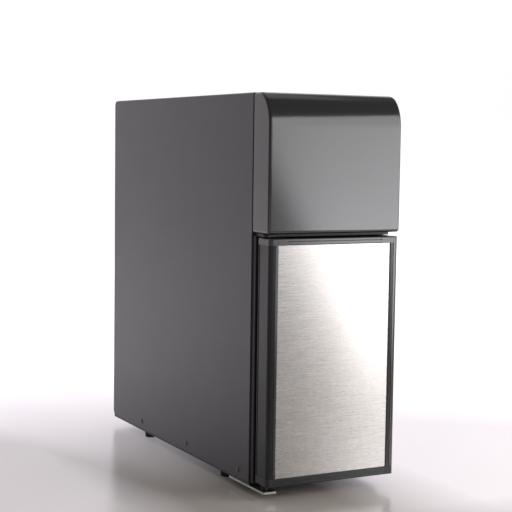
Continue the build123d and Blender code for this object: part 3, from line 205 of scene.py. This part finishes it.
def gloss_cover(name):
    """High-gloss black lacquer: a clear coat with faint orange peel and hairline swirls."""
    g = Graph(name)
    flake = g.noise(2600.0, 1.0)
    peel = g.noise(95.0, 2.0, 0.4)
    haze = g.noise(14.0, 4.0, 0.6)
    scratch = g.noise(900.0, 3.0, 0.7, g.stretched((0.04, 1.0, 1.0)), 0.4)
    rounded, _ = g.soft_edges(0.0006)
    g.principled(
        Base_Color=g.mix(g.span(flake, 0.6, 0.75, 0.0, 0.5), (0.013, 0.013, 0.014), (0.045, 0.045, 0.05)),
        Roughness=g.span(g.maths("ADD", haze, g.maths("MULTIPLY", scratch, 0.35)), 0.45, 0.95, 0.4, 0.5),
        Normal=g.bump(flake, 0.00002, 0.6, rounded),
        Coat_Normal=g.bump(peel, 0.00004, 0.5, rounded),
    )
    g.shader.inputs["Specular IOR Level"].default_value = 0.05
    g.shader.inputs["Coat Weight"].default_value = 1.0
    g.shader.inputs["Coat Roughness"].default_value = 0.15
    g.shader.inputs["Coat IOR"].default_value = 1.78
    return g.material


def extruded_profile(name, colour, along, gloss):
    """Satin extruded profile: fine die lines that run its whole length."""
    g = Graph(name)
    squeeze = {"x": (0.01, 1.0, 1.0), "z": (1.0, 1.0, 0.01)}[along]
    lines = g.noise(1800.0, 3.0, 0.6, g.stretched(squeeze))
    cloud = g.noise(20.0, 3.0)
    rounded, edge = g.soft_edges(0.0005)
    base = g.mix(g.span(cloud, 0.3, 0.7, 0.0, 1.0),
                 [c * 0.9 for c in colour], [c * 1.12 for c in colour])
    worn = g.maths("MULTIPLY", edge, g.span(g.noise(210.0, 3.0), 0.5, 0.75, 0.0, 0.5))
    g.principled(
        Base_Color=g.mix(worn, base, (0.16, 0.16, 0.165)),
        Roughness=g.span(lines, 0.3, 0.7, 0.16, 0.24),
        Normal=g.bump(lines, 0.00001, 0.7, rounded),
    )
    g.shader.inputs["Specular IOR Level"].default_value = gloss
    return g.material


def moulded_plastic(name, colour, roughness=0.5, grain_depth=0.00008, gloss=0.5):
    """Moulded plastic with a fine spark-eroded grain."""
    g = Graph(name)
    grain = g.noise(1100.0, 3.0, 0.65)
    cells = g.voronoi(900.0)
    cloud = g.noise(25.0, 3.0)
    rounded, edge = g.soft_edges(0.0005)
    base = g.mix(cloud, [c * 0.88 for c in colour], [min(1.0, c * 1.12) for c in colour])
    rubbed = g.maths("MULTIPLY", edge, g.span(g.noise(150.0, 3.0), 0.5, 0.75, 0.0, 0.4))
    g.principled(
        Base_Color=g.mix(rubbed, base, [min(1.0, c * 1.6 + 0.03) for c in colour]),
        Roughness=g.span(grain, 0.3, 0.7, roughness - 0.06, roughness + 0.08),
        Normal=g.bump(g.maths("ADD", grain, g.maths("MULTIPLY", cells, 0.4)), grain_depth, 0.6, rounded),
    )
    g.shader.inputs["Specular IOR Level"].default_value = gloss
    return g.material


def brushed_sheet(name, colour, roughness, grain=(0.05, 1.0, 1.0), depth=0.000011):
    """Stainless sheet with a long brushed grain; the grain axis is the squeezed one."""
    g = Graph(name)
    fine = g.noise(1500.0, 2.0, 0.6, g.stretched(grain))
    coarse = g.noise(560.0, 3.0, 0.6, g.stretched(grain))
    cloud = g.noise(7.0, 3.0)
    tone = g.maths("MULTIPLY", g.maths("ADD", fine, coarse), 0.5)
    base = g.mix(g.span(coarse, 0.36, 0.64, 0.0, 1.0), [c * 0.94 for c in colour],
                 [min(1.0, c * 1.02) for c in colour])
    warm = [c * share for c, share in zip(colour, STEEL_WARMING)]
    base = g.mix(g.span(cloud, 0.4, 0.7, 0.0, 0.35), base, warm)
    g.principled(
        Base_Color=base,
        Metallic=1.0,
        Roughness=g.span(tone, 0.3, 0.7, roughness - 0.03, roughness + 0.03),
        Normal=g.bump(tone, depth, 0.6),
    )
    g.shader.inputs["Anisotropic"].default_value = 0.8
    g.shader.inputs["Anisotropic Rotation"].default_value = 0.25
    return g.material


def zinc_plate(name, colour=(0.62, 0.62, 0.60), roughness=0.32):
    """Bright zinc: metallic, faintly spangled, dull in patches."""
    g = Graph(name)
    spangle = g.voronoi(260.0)
    cloud = g.noise(60.0, 4.0, 0.6)
    rounded, _ = g.soft_edges(0.0003)
    dull = [c * share for c, share in zip(colour, ZINC_DULLING)]
    base = g.mix(g.span(cloud, 0.35, 0.7, 0.0, 1.0), colour, dull)
    base = g.mix(g.span(spangle, 0.1, 0.6, 0.0, 0.25), base, [min(1.0, c * 1.2) for c in colour])
    g.principled(
        Base_Color=base,
        Metallic=1.0,
        Roughness=g.span(cloud, 0.3, 0.7, roughness - 0.08, roughness + 0.1),
        Normal=g.bump(g.noise(500.0, 3.0), 0.00002, 0.6, rounded),
    )
    return g.material


def polished_wire(name):
    """Chrome-plated wire with slight waviness and water marks."""
    g = Graph(name)
    marks = g.noise(300.0, 4.0, 0.6)
    g.principled(
        Base_Color=g.mix(g.span(marks, 0.5, 0.8, 0.0, 1.0), (0.8, 0.8, 0.8), (0.6, 0.6, 0.58)),
        Metallic=1.0,
        Roughness=g.span(marks, 0.4, 0.8, 0.08, 0.26),
        Normal=g.bump(g.noise(700.0, 2.0), 0.00001, 0.5),
    )
    return g.material


def black_rubber(name):
    g = Graph(name)
    grain = g.noise(1500.0, 3.0, 0.7)
    bloom = g.noise(45.0, 4.0, 0.6)
    g.principled(
        Base_Color=g.mix(g.span(bloom, 0.45, 0.75, 0.0, 0.6), (0.012, 0.012, 0.012), (0.05, 0.05, 0.048)),
        Roughness=g.span(grain, 0.3, 0.7, 0.6, 0.82),
        Normal=g.bump(grain, 0.0001, 0.6),
    )
    return g.material


def fibre_board(name):
    """Needled mineral-fibre board: pale, matted and fuzzy."""
    g = Graph(name)
    fibres = g.noise(700.0, 6.0, 0.75, g.stretched((1.0, 0.25, 1.0)), 1.5)
    clumps = g.noise(60.0, 4.0, 0.6)
    base = g.mix(clumps, (0.62, 0.55, 0.36), (0.78, 0.73, 0.56))
    g.principled(
        Base_Color=g.mix(g.span(fibres, 0.4, 0.7, 0.0, 0.6), base, (0.86, 0.83, 0.7)),
        Roughness=g.span(fibres, 0.3, 0.7, 0.85, 1.0),
        Normal=g.bump(fibres, 0.0008, 0.8),
    )
    return g.material


def foil(name):
    """Heater foil, creased where it is laid by hand."""
    g = Graph(name)
    creases = g.voronoi(38.0, feature="DISTANCE_TO_EDGE")
    small = g.noise(160.0, 4.0, 0.6)
    g.principled(
        Base_Color=g.mix(small, (0.74, 0.74, 0.74), (0.84, 0.84, 0.83)),
        Metallic=1.0,
        Roughness=g.span(small, 0.3, 0.7, 0.2, 0.42),
        Normal=g.bump(g.span(creases, 0.0, 0.08, 0.0, 1.0), 0.0004, 0.6, g.bump(small, 0.0003, 0.6)),
    )
    return g.material


def lamp_quartz(name):
    """Clear quartz tube with faint streaks."""
    g = Graph(name)
    streak = g.noise(90.0, 3.0)
    g.principled(
        Base_Color=g.mix(streak, (0.86, 0.9, 0.96), (0.95, 0.97, 1.0)),
        Roughness=g.span(streak, 0.3, 0.7, 0.02, 0.08),
        Normal=g.bump(g.noise(60.0, 2.0), 0.00002, 0.5),
    )
    g.shader.inputs["Transmission Weight"].default_value = 0.9
    g.shader.inputs["IOR"].default_value = 1.46
    return g.material


def cable_sheath(name):
    g = Graph(name)
    grain = g.noise(900.0, 3.0)
    ridges = g.noise(300.0, 2.0, 0.5, g.stretched((1.0, 1.0, 0.1)))
    g.principled(
        Base_Color=g.mix(grain, (0.014, 0.014, 0.014), (0.03, 0.03, 0.03)),
        Roughness=g.span(grain, 0.3, 0.7, 0.38, 0.52),
        Normal=g.bump(ridges, 0.0001, 0.5),
    )
    return g.material


def dull_metal(name, colour, roughness=0.3):
    """Plain brass, copper or aluminium with light tarnish."""
    g = Graph(name)
    tarnish = g.noise(220.0, 4.0, 0.65)
    rounded, _ = g.soft_edges(0.0003)
    g.principled(
        Base_Color=g.mix(g.span(tarnish, 0.45, 0.75, 0.0, 0.8), colour, [c * 0.6 for c in colour]),
        Metallic=1.0,
        Roughness=g.span(tarnish, 0.3, 0.7, roughness - 0.08, roughness + 0.15),
        Normal=g.bump(g.noise(1200.0, 2.0), 0.00001, 0.5, rounded),
    )
    return g.material


def make_materials():
    """One material per slot of the record."""
    return {
        "casing_paint": powder_coat("casing_paint", (0.057, 0.0585, 0.068), 0.36, (0.13, 0.13, 0.135)),
        "black_steel": powder_coat("black_steel", (0.016, 0.016, 0.017), 0.42, (0.08, 0.08, 0.08)),
        "gloss_black": gloss_cover("gloss_black"),
        "black_plastic": moulded_plastic("black_plastic", (0.018, 0.018, 0.019)),
        "door_frame": moulded_plastic("door_frame", (0.026, 0.026, 0.028), 0.3, 0.00002),
        "brushed_steel": brushed_sheet("brushed_steel", (0.56, 0.543, 0.526), 0.27),
        "zinc_steel": zinc_plate("zinc_steel"),
        "chrome_wire": polished_wire("chrome_wire"),
        "liner_steel": brushed_sheet("liner_steel", (0.66, 0.66, 0.66), 0.34, (1.0, 0.012, 1.0)),
        "rubber": black_rubber("rubber"),
        "foam": fibre_board("foam"),
        "heater_foil": foil("heater_foil"),
        "lamp_glass": lamp_quartz("lamp_glass"),
        "white_plastic": moulded_plastic("white_plastic", (0.78, 0.78, 0.76), 0.4, 0.00004),
        "cable_black": cable_sheath("cable_black"),
        "brass": dull_metal("brass", (0.72, 0.52, 0.22)),
        "aluminium": dull_metal("aluminium", (0.74, 0.74, 0.75)),
        "copper": dull_metal("copper", (0.72, 0.36, 0.22)),
        "switch_red": moulded_plastic("switch_red", (0.5, 0.02, 0.015), 0.25, 0.00002),
    }


def dress_cad_nodes(materials):
    """Gives each CAD node its slot's material, or a look of its own."""
    slots = {part["node"]: part["material_slot"] for part in frame["record"]["subparts"]}
    own = {
        # The four frame sides are one black plastic given different specular levels, so each side reads
        # lighter or darker as if lit differently: painted light and shade.
        "door_left_stile": extruded_profile("door_frame_left", FRAME_BLACK, "z", 0.36),
        "door_right_stile": extruded_profile("door_frame_right", FRAME_BLACK, "z", 0.95),
        "door_top_rail": extruded_profile("door_frame_top", FRAME_BLACK, "x", 0.95),
        "door_bottom_rail": extruded_profile("door_frame_bottom", FRAME_BLACK, "x", 0.6),
        "door_top_corners": moulded_plastic("door_top_caps", FRAME_BLACK, 0.24, 0.00001, 0.95),
        # The screw heads get a paler, shinier copy of the casing paint; the paler colour is painted
        # highlight on their rims.
        "side_panel_screws": powder_coat("screw_paint_painted_highlight", (0.15, 0.147, 0.15), 0.3, (0.24, 0.24, 0.24)),
    }
    for name, node in nodes.items():
        node.data.materials.clear()
        node.data.materials.append(own.get(name) or materials[slots[name]])


# ---------------------------------------------------------------- printed marks
PRINT_THICK = 0.00006
PRINT_LIFT = 0.00002
DIAL_TURN = 270.0             # degrees from the first mark to the last
DIAL_STEPS = 20
DIAL_TICK_FROM = 0.0182
DIAL_TICK_TO = 0.0198         # short ticks end here, long ones at the next radius
DIAL_LONG_TO = 0.0206
DIAL_NUMBER_RADIUS = 0.0234
DIAL_NUMBER_SIZE = 0.0042
NUMBER_EVERY = 4              # every fourth tick is long and has a number
DIAL_TICK_HALF = 0.00016      # half a short tick's width
DIAL_LONG_HALF = 0.00028
ROCKER_MARK_Z = 0.0046        # the marks' height above and below the rocker's middle
ROCKER_MARK_SIZE = 0.0018     # half the bar's height, and the ring's outer radius
ROCKER_BAR_SLIM = 0.16        # the bar's width as a share of its height
ROCKER_RING_INNER = 0.7       # the ring's inner radius as a share of the outer one
ROCKER_RING_SIDES = 32
RAY_START_Y = 1.0             # well behind the cabinet
FROM_BEHIND = ((-1.0, 0.0, 0.0), (0.0, 0.0, 1.0), (0.0, 1.0, 0.0))    # turns text to be read from behind


def mesh_piece(name, work, material, body):
    """Turns a bmesh into a piece that rides on a body."""
    mesh = bpy.data.meshes.new(name)
    work.to_mesh(mesh)
    work.free()
    mesh.materials.append(material)
    piece = bpy.data.objects.new(name, mesh)
    scene.collection.objects.link(piece)
    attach(piece, body)


def add_prism(work, outline, thick):
    """A closed prism from an outline of points, raised along its own normal."""
    low = [work.verts.new(point) for point in outline]
    high = [work.verts.new(point + thick) for point in outline]
    work.faces.new(list(reversed(low)))
    work.faces.new(high)
    for index in range(len(outline)):
        following = (index + 1) % len(outline)
        work.faces.new((low[index], low[following], high[following], high[index]))


def clock_point(centre, radius, turn):
    """A point round the dial, turning clockwise as seen from behind."""
    angle = math.radians(turn)
    return Vector((centre[0] - radius * math.sin(angle), centre[1], centre[2] + radius * math.cos(angle)))


def dial_centre():
    """The knob's middle, brought to the control plate's face."""
    low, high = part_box("thermostat_knob")
    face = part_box("control_plate")[1][1] + PRINT_LIFT
    return Vector(((low[0] + high[0]) / 2, face, (low[2] + high[2]) / 2))


def dial_ticks(material):
    """Printed ticks round the thermostat's knob, on the control plate."""
    centre = dial_centre()
    work = bmesh.new()
    for step in range(DIAL_STEPS + 1):
        turn = DIAL_TURN * step / DIAL_STEPS
        long_tick = step % NUMBER_EVERY == 0
        outer = DIAL_LONG_TO if long_tick else DIAL_TICK_TO
        half = math.degrees((DIAL_LONG_HALF if long_tick else DIAL_TICK_HALF) / DIAL_TICK_FROM)
        corners = [clock_point(centre, radius, turn + shift) for radius, shift in (
            (DIAL_TICK_FROM, -half), (DIAL_TICK_FROM, half), (outer, half), (outer, -half))]
        add_prism(work, corners, Vector((0.0, PRINT_THICK, 0.0)))
    bmesh.ops.recalc_face_normals(work, faces=work.faces)
    mesh_piece("dial_ticks", work, material, "cabinet")


def dial_numbers(material):
    """0 to 5 round the dial, upright and read from behind."""
    centre = dial_centre()
    for number in range(DIAL_STEPS // NUMBER_EVERY + 1):
        turn = DIAL_TURN * number * NUMBER_EVERY / DIAL_STEPS
        text = bpy.data.curves.new(f"dial_number_{number}", "FONT")
        text.body = str(number)
        text.size = DIAL_NUMBER_SIZE
        text.align_x = "CENTER"
        text.align_y = "CENTER"
        text.extrude = PRINT_THICK / 2
        text.materials.append(material)
        piece = bpy.data.objects.new(text.name, text)
        place = clock_point(centre, DIAL_NUMBER_RADIUS, turn) + Vector((0.0, PRINT_THICK / 2, 0.0))
        piece.matrix_world = Matrix.Translation(place) @ Matrix(FROM_BEHIND).to_4x4()
        scene.collection.objects.link(piece)
        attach(piece, "cabinet")


def rocker_face_point(node, x, z):
    """A point on a rocker's rear face and its normal, found by casting a ray forward on its mesh."""
    hit, place, normal, _ = nodes[node].ray_cast(Vector((x, RAY_START_Y, z)), Vector((0.0, -1.0, 0.0)))
    if not hit:
        raise RuntimeError("no face under a mark on " + node)
    return place, normal


def rocker_marks(node, body, material):
    """The on bar and the off ring, printed on a rocker's two halves."""
    low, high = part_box(node)
    x = (low[0] + high[0]) / 2
    middle = (low[2] + high[2]) / 2
    work = bmesh.new()
    for sign in (1, -1):
        place, normal = rocker_face_point(node, x, middle + sign * ROCKER_MARK_Z)
        across = Vector((-1.0, 0.0, 0.0))
        up = normal.cross(across).normalized()
        if up.z < 0.0:
            up = -up
        thick = normal * PRINT_THICK
        base = place + normal * PRINT_LIFT
        if sign > 0:
            half_width, half_height = ROCKER_BAR_SLIM * ROCKER_MARK_SIZE, ROCKER_MARK_SIZE
            corners = [base + across * a * half_width + up * b * half_height
                       for a, b in ((-1, -1), (1, -1), (1, 1), (-1, 1))]
            add_prism(work, corners, thick)
        else:
            add_ring(work, base, across, up, thick)
    bmesh.ops.recalc_face_normals(work, faces=work.faces)
    mesh_piece(node + "_marks", work, material, body)


def add_ring(work, base, across, up, thick):
    """A thin flat ring, closed all round."""
    outer, inner = ROCKER_MARK_SIZE, ROCKER_RING_INNER * ROCKER_MARK_SIZE
    rows = []
    for index in range(ROCKER_RING_SIDES):
        angle = 2.0 * math.pi * index / ROCKER_RING_SIDES
        outward = across * math.cos(angle) + up * math.sin(angle)
        points = (base + outward * inner, base + outward * outer,
                  base + outward * outer + thick, base + outward * inner + thick)
        rows.append([work.verts.new(point) for point in points])
    for index, here in enumerate(rows):
        there = rows[(index + 1) % len(rows)]
        for corner in range(len(here)):
            following = (corner + 1) % len(here)
            work.faces.new((here[corner], here[following], there[following], there[corner]))


def printed_marks(materials):
    """Generic marks only: the dial's ticks and numbers, and the rockers' on and off signs."""
    ink = materials["white_plastic"]
    dial_ticks(ink)
    dial_numbers(ink)
    rocker_marks("power_switch_rocker", "power_rocker", ink)
    rocker_marks("lamp_switch_rocker", "lamp_rocker", ink)


# ---------------------------------------------------------------- stage
FLOOR_REACH = 6.0
FLOOR_DARK = (0.68, 0.62, 0.555)
FLOOR_PALE = (0.72, 0.66, 0.595)
FLOOR_ROUGHNESS = (0.18, 0.25)
BACKDROP_Y = 5.0
BACKDROP_BEND = 2.0
BACKDROP_STEPS = 16
GLOW_STRENGTH = 0.8
GLOW_COLOUR = (1.0, 0.965, 1.06)
GLOW_START = (-0.2, 1.0)      # how far back the glow behind sets in, and where it is full
GLOW_SIDE = 0.8               # it also sets in to the right, this much per metre
GLOW_FADE = (-0.62, -0.36)    # it fades to the left, by the bearing's slope from behind
GLOW_FAINT = 0.35             # what is left of it there
FADE_CENTRE_Y = 0.5           # those bearings start this far ahead of the object's middle
FRONT_GLOW = 0.9
FRONT_START = (1.8, 4.5)      # the floor far in front glows too, this far from the object
FRONT_SIDE = (0.0, -1.0)      # from the object's middle forward
SPILL_RIGHT = (0.0, 0.2)      # painted pools of light: on each side the floor glows brighter between these places
SPILL_RIGHT_GLOW = 0.5
SPILL_LEFT = (-0.21, -0.31)
SPILL_LEFT_GLOW = 0.24
SPILL_END = (-0.62, -0.42)    # that stops in front of the door, between these places, leaving painted shade by the door


def floor_glow(g):
    """How strongly each place of the floor glows, from 0 to 1: painted light on the floor."""
    across, back = g.axis_values("X", "Y")
    to_right = g.maths("MULTIPLY", g.maths("MAXIMUM", across, 0.0), GLOW_SIDE)
    rise = g.span(g.maths("ADD", back, to_right), *GLOW_START, 0.0, 1.0)
    slope = g.maths("DIVIDE", across, g.maths("ADD", g.maths("MAXIMUM", back, 0.0), FADE_CENTRE_Y))
    behind = g.maths("MULTIPLY", rise, g.span(slope, *GLOW_FADE, GLOW_FAINT, 1.0))
    distance = g.maths("POWER", g.maths("ADD", g.maths("MULTIPLY", across, across),
                                        g.maths("MULTIPLY", back, back)), 0.5)
    ahead = g.maths("MULTIPLY", g.span(distance, *FRONT_START, 0.0, FRONT_GLOW),
                    g.span(back, *FRONT_SIDE, 0.0, 1.0))
    beside = g.maths("MAXIMUM", g.span(across, *SPILL_RIGHT, 0.0, SPILL_RIGHT_GLOW),
                     g.span(across, *SPILL_LEFT, 0.0, SPILL_LEFT_GLOW))
    beside = g.maths("MULTIPLY", beside, g.span(back, *SPILL_END, 0.0, 1.0))
    return g.maths("MAXIMUM", beside, g.maths("MAXIMUM", behind, ahead))


def floor_finish():
    """Pale and slightly glossy, with a glow that stands in for a lit room."""
    g = Graph("floor")
    g.principled(
        Base_Color=g.mix(g.noise(1.5, 3.0), FLOOR_DARK, FLOOR_PALE),
        Roughness=g.span(g.noise(8.0, 3.0), 0.3, 0.7, *FLOOR_ROUGHNESS),
        Emission_Color=GLOW_COLOUR,
        Emission_Strength=g.maths("MULTIPLY", floor_glow(g), GLOW_STRENGTH),
    )
    return g.material


def stage_floor():
    """A pale floor that curves up into a backdrop far behind."""
    bend_y = BACKDROP_Y - BACKDROP_BEND
    profile = [(-FLOOR_REACH, 0.0), (bend_y, 0.0)]
    for index in range(1, BACKDROP_STEPS + 1):
        angle = 0.5 * math.pi * index / BACKDROP_STEPS
        profile.append((bend_y + BACKDROP_BEND * math.sin(angle),
                        BACKDROP_BEND - BACKDROP_BEND * math.cos(angle)))
    profile.append((BACKDROP_Y, FLOOR_REACH))
    work = bmesh.new()
    rows = []
    for y, z in profile:
        rows.append([work.verts.new((x, y, z)) for x in (-FLOOR_REACH, FLOOR_REACH)])
    for low, high in zip(rows, rows[1:]):
        face = work.faces.new((low[0], low[1], high[1], high[0]))
        face.smooth = True
    mesh = bpy.data.meshes.new("floor")
    work.to_mesh(mesh)
    work.free()
    mesh.materials.append(floor_finish())
    floor = bpy.data.objects.new("floor", mesh)
    scene.collection.objects.link(floor)


# ---------------------------------------------------------------- light
SOFTBOX_BEARING = 31.0          # degrees to the right of straight ahead of the door
SOFTBOX_DISTANCE = 1.0
SOFTBOX_LEAN = 27.0             # its near edge leans this far from upright
SOFTBOX_SIZE = (0.9, 0.86)
SOFTBOX_EDGE = (-0.156, 0.50)   # a point of the near edge, across the panel's plane and up
SOFTBOX_SLIDE = -0.10           # the panel's middle, along its near edge from that point
SOFTBOX_COLOUR = (1.0, 0.985, 1.005)
SOFTBOX_RADIANCE = 3.8
SOFTBOX_FADE = (0.36, 0.70)     # its light fades upward between these shares of its height
SOFTBOX_FADE_TO = 0.64
CEILING_PLACE = (0.0, 0.6, 3.0)
CEILING_SIZE = (3.0, 2.0)
CEILING_RADIANCE = 0.35
FILL_PLACE = (0.0, -2.8, 0.9)   # it lights the chamber when the door is open
FILL_UPWARD = (0.0, 0.2, 1.0)
FILL_SIZE = (1.2, 0.9)
FILL_RADIANCE = 1.4
ROOM_LIGHT = 0.18
ROOM_SEEN = 1.0                 # the background as the camera sees it
WHITE = (1.0, 1.0, 1.0)


def area_light(name, place, across, upward, size, radiance, colour=WHITE):
    """A soft panel: across and upward are its edges' directions, and it shines against across x upward."""
    across = Vector(across).normalized()
    ahead = across.cross(Vector(upward)).normalized()
    upward = ahead.cross(across)
    data = bpy.data.lights.new(name, "AREA")
    data.shape = "RECTANGLE"
    data.size, data.size_y = size
    data.energy = radiance * math.pi * size[0] * size[1]
    data.color = colour
    light = bpy.data.objects.new(name, data)
    light.matrix_world = Matrix.Translation(place) @ Matrix((across, upward, ahead)).transposed().to_4x4()
    light.visible_camera = False
    scene.collection.objects.link(light)
    return light


def fade_upward(data, start, stop, least):
    """A panel's light falls off evenly from its lower part to its top."""
    data.use_nodes = True
    tree = data.node_tree
    spread = tree.nodes.new("ShaderNodeNewGeometry")
    split = tree.nodes.new("ShaderNodeSeparateXYZ")
    fade = tree.nodes.new("ShaderNodeMapRange")
    for name, value in (("From Min", start), ("From Max", stop), ("To Min", 1.0), ("To Max", least)):
        fade.inputs[name].default_value = value
    emission = next(node for node in tree.nodes if node.type == "EMISSION")
    tree.links.new(spread.outputs["Parametric"], split.inputs["Vector"])
    tree.links.new(split.outputs["Y"], fade.inputs["Value"])
    tree.links.new(fade.outputs["Result"], emission.inputs["Strength"])


def softbox():
    """The main light, to the right of the door: its leaning edge shows in the steel."""
    bearing = math.radians(SOFTBOX_BEARING)
    lean = math.radians(SOFTBOX_LEAN)
    outward = Vector((math.sin(bearing), -math.cos(bearing), 0.0))
    level = Vector((math.cos(bearing), math.sin(bearing), 0.0))
    up = Vector((0.0, 0.0, 1.0))
    across = math.cos(lean) * level + math.sin(lean) * up
    upward = -math.sin(lean) * level + math.cos(lean) * up
    door_front = Vector((0.0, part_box("door_outer_panel")[0][1], 0.0))
    edge = door_front + SOFTBOX_DISTANCE * outward + SOFTBOX_EDGE[0] * level + SOFTBOX_EDGE[1] * up
    centre = edge + 0.5 * SOFTBOX_SIZE[0] * across + SOFTBOX_SLIDE * upward
    light = area_light("softbox", centre, across, upward, SOFTBOX_SIZE, SOFTBOX_RADIANCE, SOFTBOX_COLOUR)
    fade_upward(light.data, *SOFTBOX_FADE, SOFTBOX_FADE_TO)


def make_room():
    """A white background for the camera, which lights the scene only faintly."""
    world = bpy.data.worlds.new("world")
    world.use_nodes = True
    tree = world.node_tree
    tree.nodes.clear()
    output = tree.nodes.new("ShaderNodeOutputWorld")
    mix = tree.nodes.new("ShaderNodeMixShader")
    path = tree.nodes.new("ShaderNodeLightPath")
    tree.links.new(path.outputs["Is Camera Ray"], mix.inputs["Fac"])
    for socket, strength in ((mix.inputs[1], ROOM_LIGHT), (mix.inputs[2], ROOM_SEEN)):
        background = tree.nodes.new("ShaderNodeBackground")
        background.inputs["Color"].default_value = (*WHITE, 1.0)
        background.inputs["Strength"].default_value = strength
        tree.links.new(background.outputs["Background"], socket)
    tree.links.new(mix.outputs["Shader"], output.inputs["Surface"])
    scene.world = world


def make_light():
    right = (1.0, 0.0, 0.0)
    softbox()
    area_light("ceiling", CEILING_PLACE, right, (0.0, 1.0, 0.0), CEILING_SIZE, CEILING_RADIANCE)
    area_light("front_fill", FILL_PLACE, right, FILL_UPWARD, FILL_SIZE, FILL_RADIANCE)
    make_room()


make_camera()
finishes = make_materials()
dress_cad_nodes(finishes)
printed_marks(finishes)
stage_floor()
make_light()
scene.view_settings.view_transform = "Standard"
